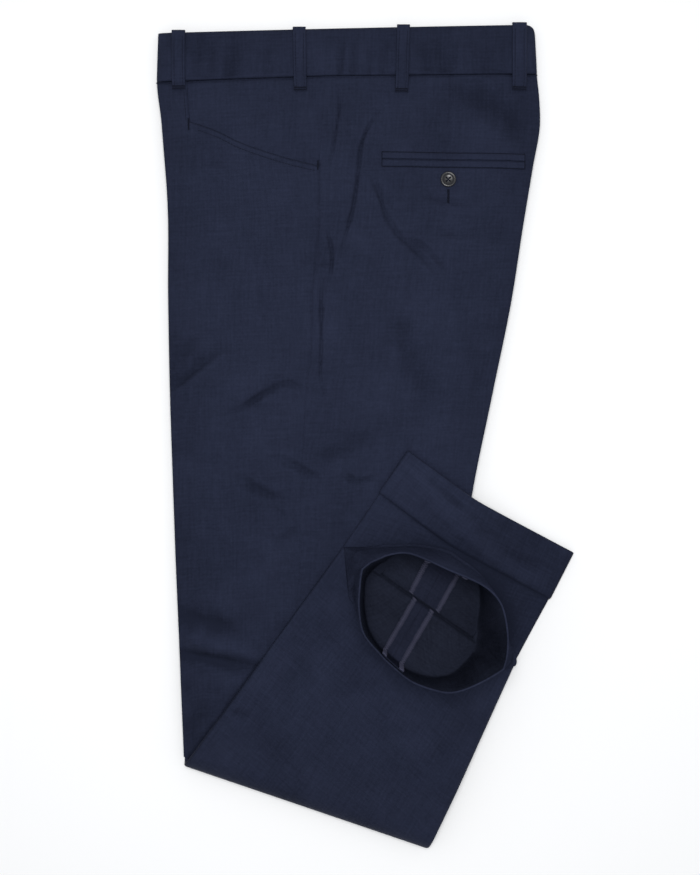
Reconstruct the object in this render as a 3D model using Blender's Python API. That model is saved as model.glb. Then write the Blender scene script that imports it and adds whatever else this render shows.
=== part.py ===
"""Navy chino trousers lying folded: halved along centre front and centre back, legs folded up at the knee.

X runs across the garment, Y towards the waist and Z up from the surface that it lies on. The origin is
on that surface, under the middle of the garment's outline. Every table and size below is in millimetres.

From the surface up, the layers are the right leg, the left leg, then the folded-up left lower leg and
the folded-up right lower leg, whose end is pushed open into a standing ring.
"""

import math

import bpy
import numpy as np
from mathutils import Matrix, Vector

MM = 0.001

# Cloth and clearances
CLOTH = 1.3  # wall of one layer of cotton twill with its puffiness
SEAM_GAP = 0.3  # air between two pieces at a seam
LAYER_GAP = 0.3  # air between a piece and what it lies on
LEG_LIFT = 0.6  # air under the folded-up left leg, whose weave of points differs from the thigh's
RING_LIFT = 1.0  # air under the opened leg end
BAND_CLOTH = 3.0  # waistband with its facing
WELT_LIFT = 0.5  # air under what is sewn onto a panel
CORE_DROP = 4.6  # from the top of the pile down to the hidden layers
CORE_LIFT = 1.6  # from the surface up to the hidden layers

# Heights of the pile
THIGH_TOP = 16.0
THIGH_FOLD = 11.0  # height of the upper thigh where it reaches the knee fold
THIGH_MIDDLE = 8.0  # where the upper thigh meets the lower one
FOLD_TOP = 20.0  # height of the rounded knee fold
FOLD_ROUND = 17.0  # how far the knee fold's rounding reaches in over the pile
FOLD_ROUND_UNDER = 14.0  # and in under it
FOLD_SIDE = 4.4  # depth of the fold's closed sides
FOLD_SIDE_REACH = 10.0  # and how far in that depth changes to that of the layers
FOLD_SIDE_END = 14.0  # the folded-up left leg starts further in than this
LOWER_LEG = 5.6  # thickness of the folded-up left leg
UPPER_LEG = 5.6  # thickness of the folded-up right leg on it
FOLD_REACH = 60.0  # the pile thickens over this distance from the knee fold
DRAPE_START = -6.0  # the folded-up legs start to sink here, inside the thigh's back edge
DRAPE_SPAN = 78.0  # and lie on the surface this much further out

# Half outline of the body of the trousers: y, x
LEFT_EDGE = (
    (391.0, -202.1),
    (345.0, -203.3),
    (310.0, -199.8),
    (278.0, -196.8),
    (233.0, -192.9),
    (135.0, -191.9),
    (36.0, -189.0),
    (-42.0, -186.1),
    (-120.0, -183.2),
    (-217.0, -179.3),
    (-319.8, -176.9),
)
RIGHT_EDGE = (
    (387.0, 165.0),
    (352.7, 166.2),
    (330.0, 168.0),
    (305.0, 168.3),
    (262.0, 161.8),
    (206.5, 152.8),
    (135.6, 142.1),
    (35.6, 122.0),
    (-59.1, 103.0),
    (-142.0, 92.6),
    (-271.0, 76.7),
    (-400.6, 60.8),
)
SIDE_SEAM = (
    (350.8, -39.4),
    (306.5, -42.3),
    (262.8, -44.7),
    (190.0, -46.2),
    (147.0, -51.0),
    (74.0, -53.9),
    (46.0, -58.0),
    (11.0, -59.6),
    (-36.0, -62.6),
    (-118.0, -63.6),
    (-147.0, -65.5),
    (-245.0, -73.3),
    (-352.6, -80.4),
)
# Rows of the body from waist to knee: y at the front edge, y at the side seam, y at the back edge
BODY_ROWS = (
    (345.0, 350.8, 352.7),
    (321.0, 306.5, 305.0),
    (300.0, 262.8, 262.0),
    (250.0, 222.0, 221.0),
    (200.0, 190.0, 188.0),
    (150.0, 147.0, 145.0),
    (100.0, 95.0, 95.0),
    (60.0, 60.0, 60.0),
    (25.0, 20.0, 20.0),
    (-20.0, -20.0, -20.0),
    (-65.0, -65.0, -65.0),
    (-110.0, -115.0, -117.0),
    (-155.0, -165.0, -167.0),
    (-200.0, -215.0, -220.0),
    (-240.0, -260.0, -270.0),
    (-280.0, -305.0, -330.0),
    (-319.8, -352.6, -400.6),
)
KNEE_ROW = len(BODY_ROWS) - 1
POCKET_ROW = 2
# Pile height near the waist: y, top, where the upper half meets the lower half
WAIST_HEIGHTS = (
    (400.0, 9.5, 4.7),
    (352.0, 10.7, 5.2),
    (306.0, 13.0, 6.4),
    (263.0, 15.2, 7.5),
    (222.0, 16.0, 8.0),
)
# Height where the upper thigh meets the lower one, at the rows of the body: row, height
MIDDLES = ((0.0, 5.2), (1.0, 6.4), (2.0, 7.5), (3.0, 8.0), (14.0, 8.0), (16.0, 5.4))
# The front pocket's mouth leaves the straight row by this much: share of the front's width, offset
POCKET_MOUTH = (
    (0.0, 0.0),
    (0.18, 7.5),
    (0.275, 10.0),
    (0.36, 7.3),
    (0.463, 3.4),
    (0.63, 0.3),
    (0.815, -1.4),
    (1.0, 0.0),
)
POCKET_SIDE = 0.18  # share of the front's width where the pocket's upright edge stands
BEARER_TUCK = 9.0  # the bearer runs this far under the front
BEARER_SINK = 1.7  # depth of the bearer below the front's face, at the mouth and beside it
BEARER_FLAT = 6.0  # it keeps that depth this far above the mouth
BEARER_SLOPE = 24.0  # and has risen to the face over this distance more
BEARER_ROWS = (-0.12, 0.22)  # its last two rows, from the mouth's row
BEARER_BEND = 0.21  # share of the front's width of its column beside the upright edge

# Folded-up legs: left edge x and y, right edge x and y, sag of the row towards the knee
LEG_ROWS = (
    (-176.9, -319.8, 60.8, -400.6, 0.0),  # knee fold
    (-21.9, -106.0, 144.2, -222.9, 0.0),  # where the right leg's end is pushed open
    (13.7, -54.3, 179.1, -158.1, 7.5),  # top of the turn-up
    (41.6, -13.8, 202.4, -112.3, 7.0),  # hem
)
LEG_SEAM = ((0.0, 0.406), (1.0, 0.469), (3.0, 0.47))  # row, share of the width where the seam runs
SAG_PEAK = 0.42  # share of the width where a row sags most, over the thigh's back edge

# Soft edges of the upper thigh: distance in from the outline, height as a share of its thickness
EDGE_CURL = ((4.5, 0.0), (1.6, 0.06), (0.0, 0.42))
FRONT_INSETS = (1.6, 4.2, 8.5, 14.0)
BACK_INSETS = (1.6, 5.0, 11.0, 20.0)
FRONT_SOFT = 22.0  # the upper thigh is at full height this far in from its front edge
BACK_SOFT = 28.0  # and from its back edge
# Closed edges of the right leg: distance in, depth as a share of the layer's thickness
SMALL_ROLL = ((3.2, 1.0), (1.0, 0.82), (0.0, 0.5), (1.0, 0.2), (3.2, 0.04), (7.0, 0.0))

# Largest creases: start x and y, end x and y, sideways bow, half width, height (a trough is negative)
CREASES = (
    (23, 325, -25, 180, -10, 11, -1.7),  # long S below the waist seam
    (-37, 198, -41, 36, -4, 9, -1.7),  # pinch beside the side seam
    (7, 242, 67, 159, -8, 11, -1.5),  # below the front end of the back pocket
    (92, 340, 160, 309, 3, 15, -2.0),  # broad, from the waist seam to the seat
    (-186, 42, -125, 96, -3, 14, -1.7),
    (-118, 24, -59, 46, 11, 11, -1.5),
    (-123, -41, -78, -61, 0, 12, -1.1),
    (-85, -8, -45, -43, -4, 11, -1.3),
    (-54, -22, 9, -39, -6, 12, -1.2),
    (37, 133, 82, 39, -17, 16, -1.6),
    (-184, -177, -114, -189, 4, 13, -1.2),
    (-184, -203, -112, -222, -3, 11, -2.0),  # strong, above the knee
)
LEG_CREASES = (
    (-131, -264, -96, -268, 3, 12, -1.0),
    (-60, -318, -10, -300, 4, 13, -0.9),
    (40, -330, 84, -290, 5, 14, -1.2),
)

# Top edge of the waistband
BAND_LEFT = (-202.1, 390.5)
BAND_RIGHT = (165.0, 399.6)
BAND_ARCH = 1.4
BAND_CORNER = 0.965  # share of the width where the edge starts to fall
BAND_FALL = 11.0
BAND_SEAM = (345.0, 352.7)  # y of the waist seam at the front edge and at the back edge
BAND_SEAM_GAP = 0.4  # from the body's top row to the band
BAND_RISE = 0.4  # the band stands this much above the cloth below it
BAND_CLOSED = 0.7  # share of the thickness below which the band's two halves meet at its ends
BAND_UNDER_ROLL = 0.6  # how much of the folded ends' rounding the underside takes
# Share of the way up the band, and how far its face has rounded off there
BAND_UPS = ((0.0, 0.5), (0.12, 0.1), (0.5, 0.0), (0.88, 0.1), (1.0, 0.7))
# Folded end of the band: distance in, share of the thickness
BAND_END = ((0.0, 0.62), (1.5, 0.8), (5.0, 0.91), (12.0, 0.98), (22.0, 1.0))
BAND_FRONT_SHARES = (0.2, 0.32, 0.44, 0.56, 0.68, 0.8, 0.92)
BAND_BACK_SHARES = (1.0, 0.9, 0.8, 0.7, 0.6, 0.5, 0.4, 0.3, 0.2)

# Belt loops: name, x at the top, x at the bottom, width, y of the bottom
LOOPS = (
    ("belt_loop_front", -182.0, -181.6, 13.0, 337.5),
    ("belt_loop_side", -64.6, -63.4, 12.6, 336.0),
    ("belt_loop_back", 36.8, 35.0, 12.6, 334.5),
    ("belt_loop_centre_back", 149.6, 149.2, 14.0, 336.5),
)
# Length of a loop: distance past the band's edge or share of the way down, height, drop of its folded top
LOOP_TOP = ((2.6, 0.6, 1.6), (0.9, 1.4, 2.2), (0.5, 1.6, 0.0))
LOOP_RUN = ((0.08, 1.7), (0.25, 1.9), (0.5, 2.1), (0.75, 1.8), (0.86, 1.6), (0.94, 1.5), (1.0, 1.0))
LOOP_GAP = 0.45
LOOP_ON_BAND = 343.0  # above this a loop lies on the band, below it on the cloth
LOOP_SLACK = 2.0  # a loop spans dips of the cloth this long
LOOP_BED_ROLL = 12.0  # rounding of the band's folded ends, as a loop follows it
LOOP_SECTION = ((-0.5, 0.3), (-0.38, 0.0), (0.38, 0.0), (0.5, 0.3))  # share across, rounding off

# Back pocket: two welts with a slit between, and a button on the cloth below
WELT_LEFT = (16.2, 275.6)
WELT_RIGHT = (154.0, 273.6)
WELT_DEPTH = 6.4
WELT_SLIT = 0.7
WELT_CLOTH = 1.0
BUTTON_CENTRE = (79.9, 249.0)
BUTTON_RADIUS = 7.6
BUTTON_HEIGHT = 2.6
BUTTON_SIDES = 24
# Its turned section: share of the radius, share of the height
BUTTON_SECTION = ((0.0, 0.5), (0.55, 0.55), (0.71, 0.95), (0.88, 1.0), (1.0, 0.6), (0.91, 0.0))

# Opened end of the right leg, in its own plan: s along the line where it opens, p across it.
# side, then s and p of the rim, of the outer foot and of the inner foot
RING = (
    ("inseam", 91.0, 43.8, 97.0, 56.5, 96.5, 54.2),
    ("front", 62.0, 38.5, 62.0, 44.0, 63.0, 41.8),
    ("front", 46.0, 33.0, 42.0, 32.0, 50.0, 31.0),
    ("front", 33.0, 20.5, 22.0, 17.0, 42.5, 19.0),
    ("front crease", 25.5, 8.0, 0.5, 0.3, 37.5, 6.0),
    ("front crease", 23.0, -1.0, 29.0, -33.0, 34.5, -8.0),
    ("front", 31.0, -17.0, 38.0, -38.0, 40.0, -22.0),
    ("front", 43.0, -33.0, 49.0, -43.0, 50.5, -36.0),
    ("front", 60.0, -48.5, 64.0, -50.5, 65.5, -48.0),
    ("front", 80.0, -55.0, 81.0, -56.5, 81.3, -54.2),
    ("outseam", 100.5, -58.0, 101.0, -59.5, 101.0, -57.2),
    ("back", 121.0, -58.8, 122.0, -58.5, 121.3, -56.2),
    ("back", 139.0, -53.5, 142.0, -51.5, 140.0, -49.2),
    ("back", 155.0, -45.0, 158.0, -43.0, 151.0, -37.5),
    ("back", 169.0, -26.0, 168.0, -37.0, 157.0, -22.0),
    ("back crease", 180.5, -2.0, 175.0, -31.0, 160.0, -8.0),
    ("back crease", 178.0, 6.0, 203.0, 0.3, 155.5, 4.0),
    ("back", 170.0, 20.0, 180.0, 18.0, 148.5, 15.0),
    ("back", 156.0, 36.0, 154.0, 37.0, 141.0, 29.0),
    ("back", 141.0, 46.5, 137.0, 48.5, 131.0, 42.5),
    ("back", 120.0, 49.5, 118.0, 54.0, 117.0, 51.6),
)
RING_OUTSEAM = 10  # row of that table
RING_STATIONS = 2  # stations round the ring for each row of the table
RING_SLIT = 0.6  # half the slit between the ring's two floors
SLIT_START = 45.5  # the slit runs from here
SLIT_END = 152.5  # to here
SLIT_FAN = 0.12  # stations start this much further along the slit for each millimetre that they reach out
RING_HEIGHT = 74.0  # from the folded-up left leg to the rim
RING_LEAN = 0.1  # a plain wall bellies out by this share of its run
RING_EAR = 2.4  # an ear lies low and then stands up: power of its rise
RING_EAR_RUN = (14.0, 34.0)  # a wall turns into such an ear between these runs in the plan
RING_STEPS = (0.0, 0.06, 0.18, 0.3, 0.5, 0.75, 1.0)  # share of the wall's height
RING_FLOOR_STEPS = (0.35, 0.7, 1.0)  # share of the way from the floor's bend to the wall
RING_CUFF_START = 0.3  # the turn-up covers the wall from this share of its height
END_SLOPE = 8.0  # the folded edge at the opening rises over this distance
END_LIP = 1.9  # and starts this far above the leg below
END_SIDE = 28.0  # it has its full height again this far in from the leg's edges

CUFF_START = 2.0  # leg row at which the left leg's turn-up starts
# Lip of a turn-up over the end of the wall: out from the wall's outer face, past its end, the same inside
LIP = ((1.25, 1.1, 0.3, 0.4), (-0.65, 1.7, -0.65, 0.4), (-1.3, 1.1, -1.3, 0.4))

ALLOWANCE_CLOTH = 0.8
ALLOWANCE_LEVELS = [1, 3, 4, 6, 7, 8, 9]  # levels of the ring's inner face that the strip follows
ALLOWANCE_SIDES = (0.04, 0.96)  # share of the way from the seam to the next station of the ring

NAVY = (0.0185, 0.0232, 0.0467, 1.0)
NAVY_INSIDE = (0.012, 0.013, 0.022, 1.0)
BUTTON_GREY = (0.02, 0.021, 0.026, 1.0)


# ---------------------------------------------------------------- small mathematics


def smooth(share):
    """0 to 1 with level ends."""
    held = min(max(share, 0.0), 1.0)
    return held * held * (3.0 - 2.0 * held)


def bulge(share):
    """0 to 1 as a quarter of an ellipse, steep at the start and level at the end."""
    held = min(max(share, 0.0), 1.0)
    return math.sqrt(1.0 - (1.0 - held) ** 2)


def mix(first, second, share):
    return first + (second - first) * share


def read(table, at, column=1):
    """Linear reading of a table whose first column rises or falls."""
    rows = sorted(table)
    return float(np.interp(at, [row[0] for row in rows], [row[column] for row in rows]))


def read_rows(rows, at):
    """Linear reading of a whole row at a fractional row number."""
    first = int(min(max(math.floor(at), 0), len(rows) - 2))
    return mix(np.array(rows[first], float), np.array(rows[first + 1], float), at - first)


# ---------------------------------------------------------------- the pile's heights over the plan

KNEE_LEFT = np.array(LEG_ROWS[0][0:2])
KNEE_RIGHT = np.array(LEG_ROWS[0][2:4])
KNEE_ALONG = (KNEE_RIGHT - KNEE_LEFT) / np.linalg.norm(KNEE_RIGHT - KNEE_LEFT)
KNEE_INWARD = np.array((-KNEE_ALONG[1], KNEE_ALONG[0]))
OPEN_LEFT = np.array(LEG_ROWS[1][0:2])
OPEN_RIGHT = np.array(LEG_ROWS[1][2:4])
OPEN_WIDTH = np.linalg.norm(OPEN_RIGHT - OPEN_LEFT)
OPEN_ALONG = (OPEN_RIGHT - OPEN_LEFT) / OPEN_WIDTH
OPEN_OUTWARD = np.array((-OPEN_ALONG[1], OPEN_ALONG[0]))
BACK_EDGE_POINT = np.array((103.0, -59.1))
BACK_EDGE_NORMAL = np.array((0.9923, -0.1239))


def from_knee(x, y):
    """Distance from the knee fold, into the pile."""
    return float((np.array((x, y)) - KNEE_LEFT) @ KNEE_INWARD)


def past_thigh(x, y):
    """Distance outside the thigh's back edge."""
    return float((np.array((x, y)) - BACK_EDGE_POINT) @ BACK_EDGE_NORMAL)


def past_opening(x, y):
    """Distance outside the line where the right leg's end opens."""
    return float((np.array((x, y)) - OPEN_LEFT) @ OPEN_OUTWARD)


def along_opening(x, y):
    """Distance along the line where the right leg's end opens."""
    return float((np.array((x, y)) - OPEN_LEFT) @ OPEN_ALONG)


def crease_height(creases, x, y):
    """Sum of the soft troughs and ridges at a point of the plan."""
    height = 0.0
    for x0, y0, x1, y1, bow, width, rise in creases:
        run = np.array((x1 - x0, y1 - y0), float)
        length = np.linalg.norm(run)
        run /= length
        away = np.array((x - x0, y - y0))
        along = (away @ run) / length
        if not -0.15 < along < 1.15:
            continue
        held = min(max(along, 0.0), 1.0)
        side = -run[1] * away[0] + run[0] * away[1] - bow * math.sin(math.pi * held)
        fade = smooth((along + 0.15) / 0.4) * smooth((1.15 - along) / 0.4)
        height += rise * fade * math.exp(-((side / width) ** 2))
    return height


def body_top(x, y):
    """Full height of the two thighs, without their soft edges."""
    return min(read(WAIST_HEIGHTS, y, 1), mix(THIGH_FOLD, THIGH_TOP, smooth(from_knee(x, y) / FOLD_REACH)))


def body_middle(x, y):
    """Height at which the upper thigh meets the lower one."""
    return min(read(WAIST_HEIGHTS, y, 2), mix(5.0, THIGH_MIDDLE, smooth(from_knee(x, y) / FOLD_REACH)))


def edge_level(x, y):
    """Share of the upper thigh's thickness that its soft edges leave at a point."""
    left = x - read(LEFT_EDGE, y)
    right = read(RIGHT_EDGE, y) - x
    rolls = min(bulge(left / FRONT_SOFT), bulge(right / BACK_SOFT))
    return mix(EDGE_CURL[-1][1], 1.0, rolls)


def body_surface(x, y):
    """Outer face of the upper thigh."""
    low = body_middle(x, y)
    level = edge_level(x, y)
    return mix(low, body_top(x, y), level) + crease_height(CREASES, x, y) * smooth((level - 0.5) / 0.3)


def drape(x, y):
    """Share by which the folded-up legs have sunk to the surface, past the thigh's back edge."""
    sunk = smooth((past_thigh(x, y) - DRAPE_START) / DRAPE_SPAN)
    return sunk * smooth(from_knee(x, y) / 25.0)


def leg_bed(x, y):
    """What the folded-up legs lie on."""
    bed = mix(THIGH_FOLD, THIGH_TOP, smooth(from_knee(x, y) / FOLD_REACH)) + LEG_LIFT
    return bed * (1.0 - drape(x, y))


def lower_leg_thickness(x, y):
    return mix(3.6, LOWER_LEG, smooth(from_knee(x, y) / FOLD_REACH))


def lower_leg_top(x, y):
    return leg_bed(x, y) + lower_leg_thickness(x, y)


def fold_top(distance):
    """Height of the rounded knee fold and the pile behind it."""
    pile = THIGH_TOP + LEG_LIFT + LOWER_LEG + UPPER_LEG
    half = FOLD_TOP / 2
    return half + half * bulge(distance / FOLD_ROUND) + (pile - FOLD_TOP) * smooth(distance / 70.0)


def upper_leg_top(x, y):
    distance = from_knee(x, y)
    bed = mix(THIGH_FOLD, THIGH_TOP, smooth(distance / FOLD_REACH)) + LEG_LIFT
    return fold_top(distance) - bed * drape(x, y)


def upper_leg_end(x, y):
    """Top of the folded-up right leg, with the sloping edge where it opens."""
    ramp = min(max((-past_opening(x, y) - RING_SLIT) / (END_SLOPE - RING_SLIT), 0.0), 1.0)
    along = along_opening(x, y)
    inside = smooth((min(along, OPEN_WIDTH - along) - 4.0) / (END_SIDE - 4.0))
    return mix(lower_leg_top(x, y) + END_LIP, upper_leg_top(x, y), mix(1.0, ramp, inside))


# ---------------------------------------------------------------- points of the plan


def body_row_points(row):
    """Front edge, side seam and back edge of a body row."""
    front_y, seam_y, back_y = read_rows(BODY_ROWS, row)
    front = np.array((read(LEFT_EDGE, front_y), front_y))
    seam = np.array((read(SIDE_SEAM, seam_y), seam_y))
    back = np.array((read(RIGHT_EDGE, back_y), back_y))
    return front, seam, back


def pocket_mouth(row, share):
    """How far the pocket's mouth leaves the straight row."""
    nearness = max(0.0, 1.0 - abs(row - POCKET_ROW) / 1.5)
    return read(POCKET_MOUTH, share) * nearness


def front_point(row, inset, share):
    """Point of the front, by a distance in from its edge plus a share of its width."""
    front, seam, _ = body_row_points(row)
    width = np.linalg.norm(seam - front)
    at = share + inset / width
    x, y = mix(front, seam, at)
    return x, y + pocket_mouth(row, at)


def back_point(row, inset, share):
    """Point of the back, by a distance in from its edge plus a share of its width."""
    _, seam, back = body_row_points(row)
    width = np.linalg.norm(seam - back)
    x, y = mix(back, seam, share + inset / width)
    return x, y


def leg_point(row, side, inset, share):
    """Point of a folded-up leg: side -1 runs from the left edge to the seam, side 1 from the right edge."""
    left_x, left_y, right_x, right_y, sag = read_rows(LEG_ROWS, row)
    left = np.array((left_x, left_y))
    right = np.array((right_x, right_y))
    seam_at = read(LEG_SEAM, row)
    width = np.linalg.norm(right - left)
    if side < 0:
        at = seam_at * share + inset / width
    else:
        at = 1.0 - (1.0 - seam_at) * share - inset / width
    tent = min(at / SAG_PEAK, (1.0 - at) / (1.0 - SAG_PEAK))
    x, y = mix(left, right, at) - KNEE_INWARD * sag * tent
    return x, y


def ring_plan(s, p):
    """Plan position of a point of the opened end."""
    return OPEN_LEFT + OPEN_ALONG * s + OPEN_OUTWARD * p


# ---------------------------------------------------------------- solids


def material(name, colour, roughness):
    """Principled cloth or button material."""
    made = bpy.data.materials.new(name)
    made.use_nodes = True
    shader = made.node_tree.nodes["Principled BSDF"]
    shader.inputs["Base Color"].default_value = colour
    shader.inputs["Roughness"].default_value = roughness
    shader.inputs["Metallic"].default_value = 0.0
    made.diffuse_color = colour
    return made


def add_object(name, points, faces, finish):
    """Mesh object from points in millimetres, with its faces turned outwards."""
    mesh = bpy.data.meshes.new(name)
    mesh.from_pydata([tuple(float(v) * MM for v in point) for point in points], [], faces)
    mesh.validate()
    made = bpy.data.objects.new(name, mesh)
    bpy.context.scene.collection.objects.link(made)
    mesh.materials.append(finish)
    corners = np.array([[points[i] for i in face] for face in faces], float)
    volume = np.einsum("ij,ij->i", corners[:, 0], np.cross(corners[:, 1], corners[:, 2])).sum()
    if volume < 0:
        mesh.flip_normals()
    mesh.shade_smooth()
    mesh.set_sharp_from_angle(angle=math.radians(40))
    return made


def split_quad(a, b, c, d):
    """Two triangles, always along the same diagonal, so that stacked sheets bend alike."""
    return [(a, b, c), (a, c, d)]


def slab(name, outer, inner, finish, keep=None, closed=False):
    """Closed solid between two grids of points; keep says which cells of the grid are there."""
    rows, columns = outer.shape[:2]
    spans = columns if closed else columns - 1
    if keep is None:
        keep = np.ones((rows - 1, spans), bool)
    number = {}
    points = []
    faces = []

    def vertex(layer, row, column):
        key = (layer, row, column % columns)
        if key not in number:
            number[key] = len(points)
            points.append((outer, inner)[layer][row, column % columns])
        return number[key]

    def side(row_a, column_a, row_b, column_b):
        ends = ((0, row_b, column_b), (0, row_a, column_a), (1, row_a, column_a), (1, row_b, column_b))
        faces.extend(split_quad(*[vertex(*end) for end in ends]))

    def held(row, column):
        column = column % columns if closed else column
        return 0 <= row < rows - 1 and 0 <= column < spans and keep[row, column]

    for row in range(rows - 1):
        for column in range(spans):
            if not keep[row, column]:
                continue
            corners = ((row, column), (row, column + 1), (row + 1, column + 1), (row + 1, column))
            faces.extend(split_quad(*[vertex(0, *corner) for corner in corners]))
            under = split_quad(*[vertex(1, *corner) for corner in corners])
            faces.extend(triangle[::-1] for triangle in under)
            if not held(row - 1, column):
                side(row, column, row, column + 1)
            if not held(row, column + 1):
                side(row, column + 1, row + 1, column + 1)
            if not held(row + 1, column):
                side(row + 1, column + 1, row + 1, column)
            if not held(row, column - 1):
                side(row + 1, column, row, column)
    return add_object(name, points, faces, finish)


def face_normals(grid, closed=False):
    """Unit normal at each point of a grid, from its neighbours."""
    if closed:
        across = np.roll(grid, -1, axis=1) - np.roll(grid, 1, axis=1)
    else:
        across = np.gradient(grid, axis=1)
    normal = np.cross(across, np.gradient(grid, axis=0))
    return normal / np.linalg.norm(normal, axis=2, keepdims=True)


def turned(normals, row, column, direction):
    """The normals, all reversed if the one at a point looks against a direction."""
    return -normals if normals[row, column] @ np.array(direction) < 0 else normals


def cut_out(outer, inner, first, last, seams=(True, True)):
    """Columns first to last of two grids, drawn in at the seams by half the gap between pieces."""
    columns = [column % outer.shape[1] for column in range(first, last + 1)]
    cut = [grid[:, columns].copy() for grid in (outer, inner)]
    for grid in cut:
        for end, beside, seam in ((0, 1, seams[0]), (-1, -2, seams[1])):
            if seam:
                run = grid[:, beside] - grid[:, end]
                grid[:, end] += run / np.linalg.norm(run, axis=1, keepdims=True) * (SEAM_GAP / 2)
    return cut


def grid_of(rows, columns, point):
    return np.array([[point(row, column) for column in columns] for row in rows], float)


# ---------------------------------------------------------------- upper thigh: front, bearer, back

BODY_GRID_ROWS = (
    0.0, 0.5, 1.0, 1.5, 2.0, 2.35, 2.7, 3.0, 3.6, 4.2, 4.8, 5.4, 6.0, 6.6, 7.2, 7.8, 8.4, 9.0, 9.6, 10.2,
    11.0, 11.8, 12.4, 12.9, 13.4, 14.0, 14.7, 15.3, 15.8,
)
FRONT_SHARES = (0.18, 0.275, 0.37, 0.47, 0.57, 0.67, 0.77, 0.87, 0.95)
BACK_SHARES = (0.23, 0.35, 0.47, 0.59, 0.70, 0.79, 0.86, 0.92, 0.965)


def upper_thigh_point(row, column):
    """Point of the upper thigh: on the curled edge's section, or on the open cloth."""
    side, inset, share, level = column
    point = front_point if side < 0 else back_point
    x, y = point(row, inset, share)
    if level is None:
        return x, y, body_surface(x, y)
    return x, y, mix(read(MIDDLES, row) + LAYER_GAP / 2, body_top(x, y), level)


def make_upper_thigh(finish):
    """Left front and left back, apart at the side seam, with the corner for the pocket's mouth cut out."""
    columns = [(-1, inset, 0.0, level) for inset, level in EDGE_CURL]
    columns += [(-1, inset, 0.0, None) for inset in FRONT_INSETS]
    pocket = len(columns)
    columns += [(-1, 0.0, share, None) for share in (*FRONT_SHARES, 1.0)]
    seam = len(columns) - 1
    columns += [(1, 0.0, share, None) for share in reversed(BACK_SHARES)]
    columns += [(1, inset, 0.0, None) for inset in reversed(BACK_INSETS)]
    columns += [(1, inset, 0.0, level) for inset, level in reversed(EDGE_CURL)]
    outer = grid_of(BODY_GRID_ROWS, columns, upper_thigh_point)
    inner = outer - turned(face_normals(outer), 9, seam, (0, 0, 1)) * CLOTH
    keep = np.ones((len(BODY_GRID_ROWS) - 1, seam), bool)
    keep[: BODY_GRID_ROWS.index(POCKET_ROW), pocket:] = False
    slab("left_front", *cut_out(outer, inner, 0, seam, (False, True)), finish, keep)
    slab("left_back", *cut_out(outer, inner, seam, len(columns) - 1, (True, False)), finish)


def make_bearer(finish):
    """Cloth behind the pocket's mouth, tucked under the front below and beside it."""
    rows = [row for row in BODY_GRID_ROWS if row < POCKET_ROW] + [POCKET_ROW + past for past in BEARER_ROWS]
    front, seam, _ = body_row_points(POCKET_ROW)
    width = np.linalg.norm(seam - front)
    tuck = POCKET_SIDE - BEARER_TUCK / width
    columns = [tuck, POCKET_SIDE, BEARER_BEND, *FRONT_SHARES[1:], 1.0]

    def point(row, share):
        inset = -SEAM_GAP / 2 if share == 1.0 else 0.0
        x, y = front_point(row, inset, share)
        _, mouth_y = front_point(POCKET_ROW, inset, share)
        by_mouth = 1.0 - smooth((y - mouth_y - BEARER_FLAT) / BEARER_SLOPE)
        by_side = 1.0 - smooth((share - POCKET_SIDE) * width / BEARER_SLOPE)
        return x, y, body_surface(x, y) - BEARER_SINK * max(by_mouth, by_side)

    outer = grid_of(rows, columns, point)
    inner = outer - turned(face_normals(outer), 1, 5, (0, 0, 1)) * CLOTH
    slab("left_pocket_bearer", outer, inner, finish)


# ---------------------------------------------------------------- back pocket, button, waistband, loops


def make_welts(finish):
    """Two welts lying on the back, one above the slit and one below."""
    left = np.array(WELT_LEFT)
    right = np.array(WELT_RIGHT)
    along = (right - left) / np.linalg.norm(right - left)
    down = np.array((along[1], -along[0]))
    stations = np.linspace(0.0, np.linalg.norm(right - left), 12)
    for name, start in (("back_welt_upper", 0.0), ("back_welt_lower", WELT_DEPTH + WELT_SLIT)):

        def point(distance, across, rise, start=start):
            x, y = left + along * distance + down * (start + across)
            return x, y, body_surface(x, y) + rise

        section = ((0.0, 0.75), (1.2, 1.0), (WELT_DEPTH - 1.2, 1.0), (WELT_DEPTH, 0.75))
        outer = np.array([[point(s, a, WELT_LIFT + WELT_CLOTH * r) for a, r in section] for s in stations])
        inner = np.array([[point(s, a, WELT_LIFT) for a, _ in section] for s in stations])
        slab(name, outer, inner, finish)


def make_button(finish):
    """Turned button: flat back, raised rim and dished middle, lying on the back panel's slope."""
    x0, y0 = BUTTON_CENTRE
    base = body_surface(x0, y0)
    slope_x = (body_surface(x0 + 6.0, y0) - body_surface(x0 - 6.0, y0)) / 12.0
    slope_y = (body_surface(x0, y0 + 6.0) - body_surface(x0, y0 - 6.0)) / 12.0
    floor = base + WELT_LIFT
    points = [(x0, y0, floor + BUTTON_SECTION[0][1] * BUTTON_HEIGHT), (x0, y0, floor)]
    faces = []
    for radius, height in BUTTON_SECTION[1:]:
        for step in range(BUTTON_SIDES):
            angle = 2.0 * math.pi * step / BUTTON_SIDES
            dx = radius * BUTTON_RADIUS * math.cos(angle)
            dy = radius * BUTTON_RADIUS * math.sin(angle)
            rise = slope_x * dx + slope_y * dy + height * BUTTON_HEIGHT
            points.append((x0 + dx, y0 + dy, floor + rise))
    rings = len(BUTTON_SECTION) - 1
    for step in range(BUTTON_SIDES):
        after = (step + 1) % BUTTON_SIDES
        faces.append((0, 2 + step, 2 + after))
        for ring in range(rings - 1):
            near = 2 + ring * BUTTON_SIDES
            far = near + BUTTON_SIDES
            faces.extend(split_quad(near + step, far + step, far + after, near + after))
        last = 2 + (rings - 1) * BUTTON_SIDES
        faces.append((1, last + after, last + step))
    add_object("back_pocket_button", points, faces, finish)


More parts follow.
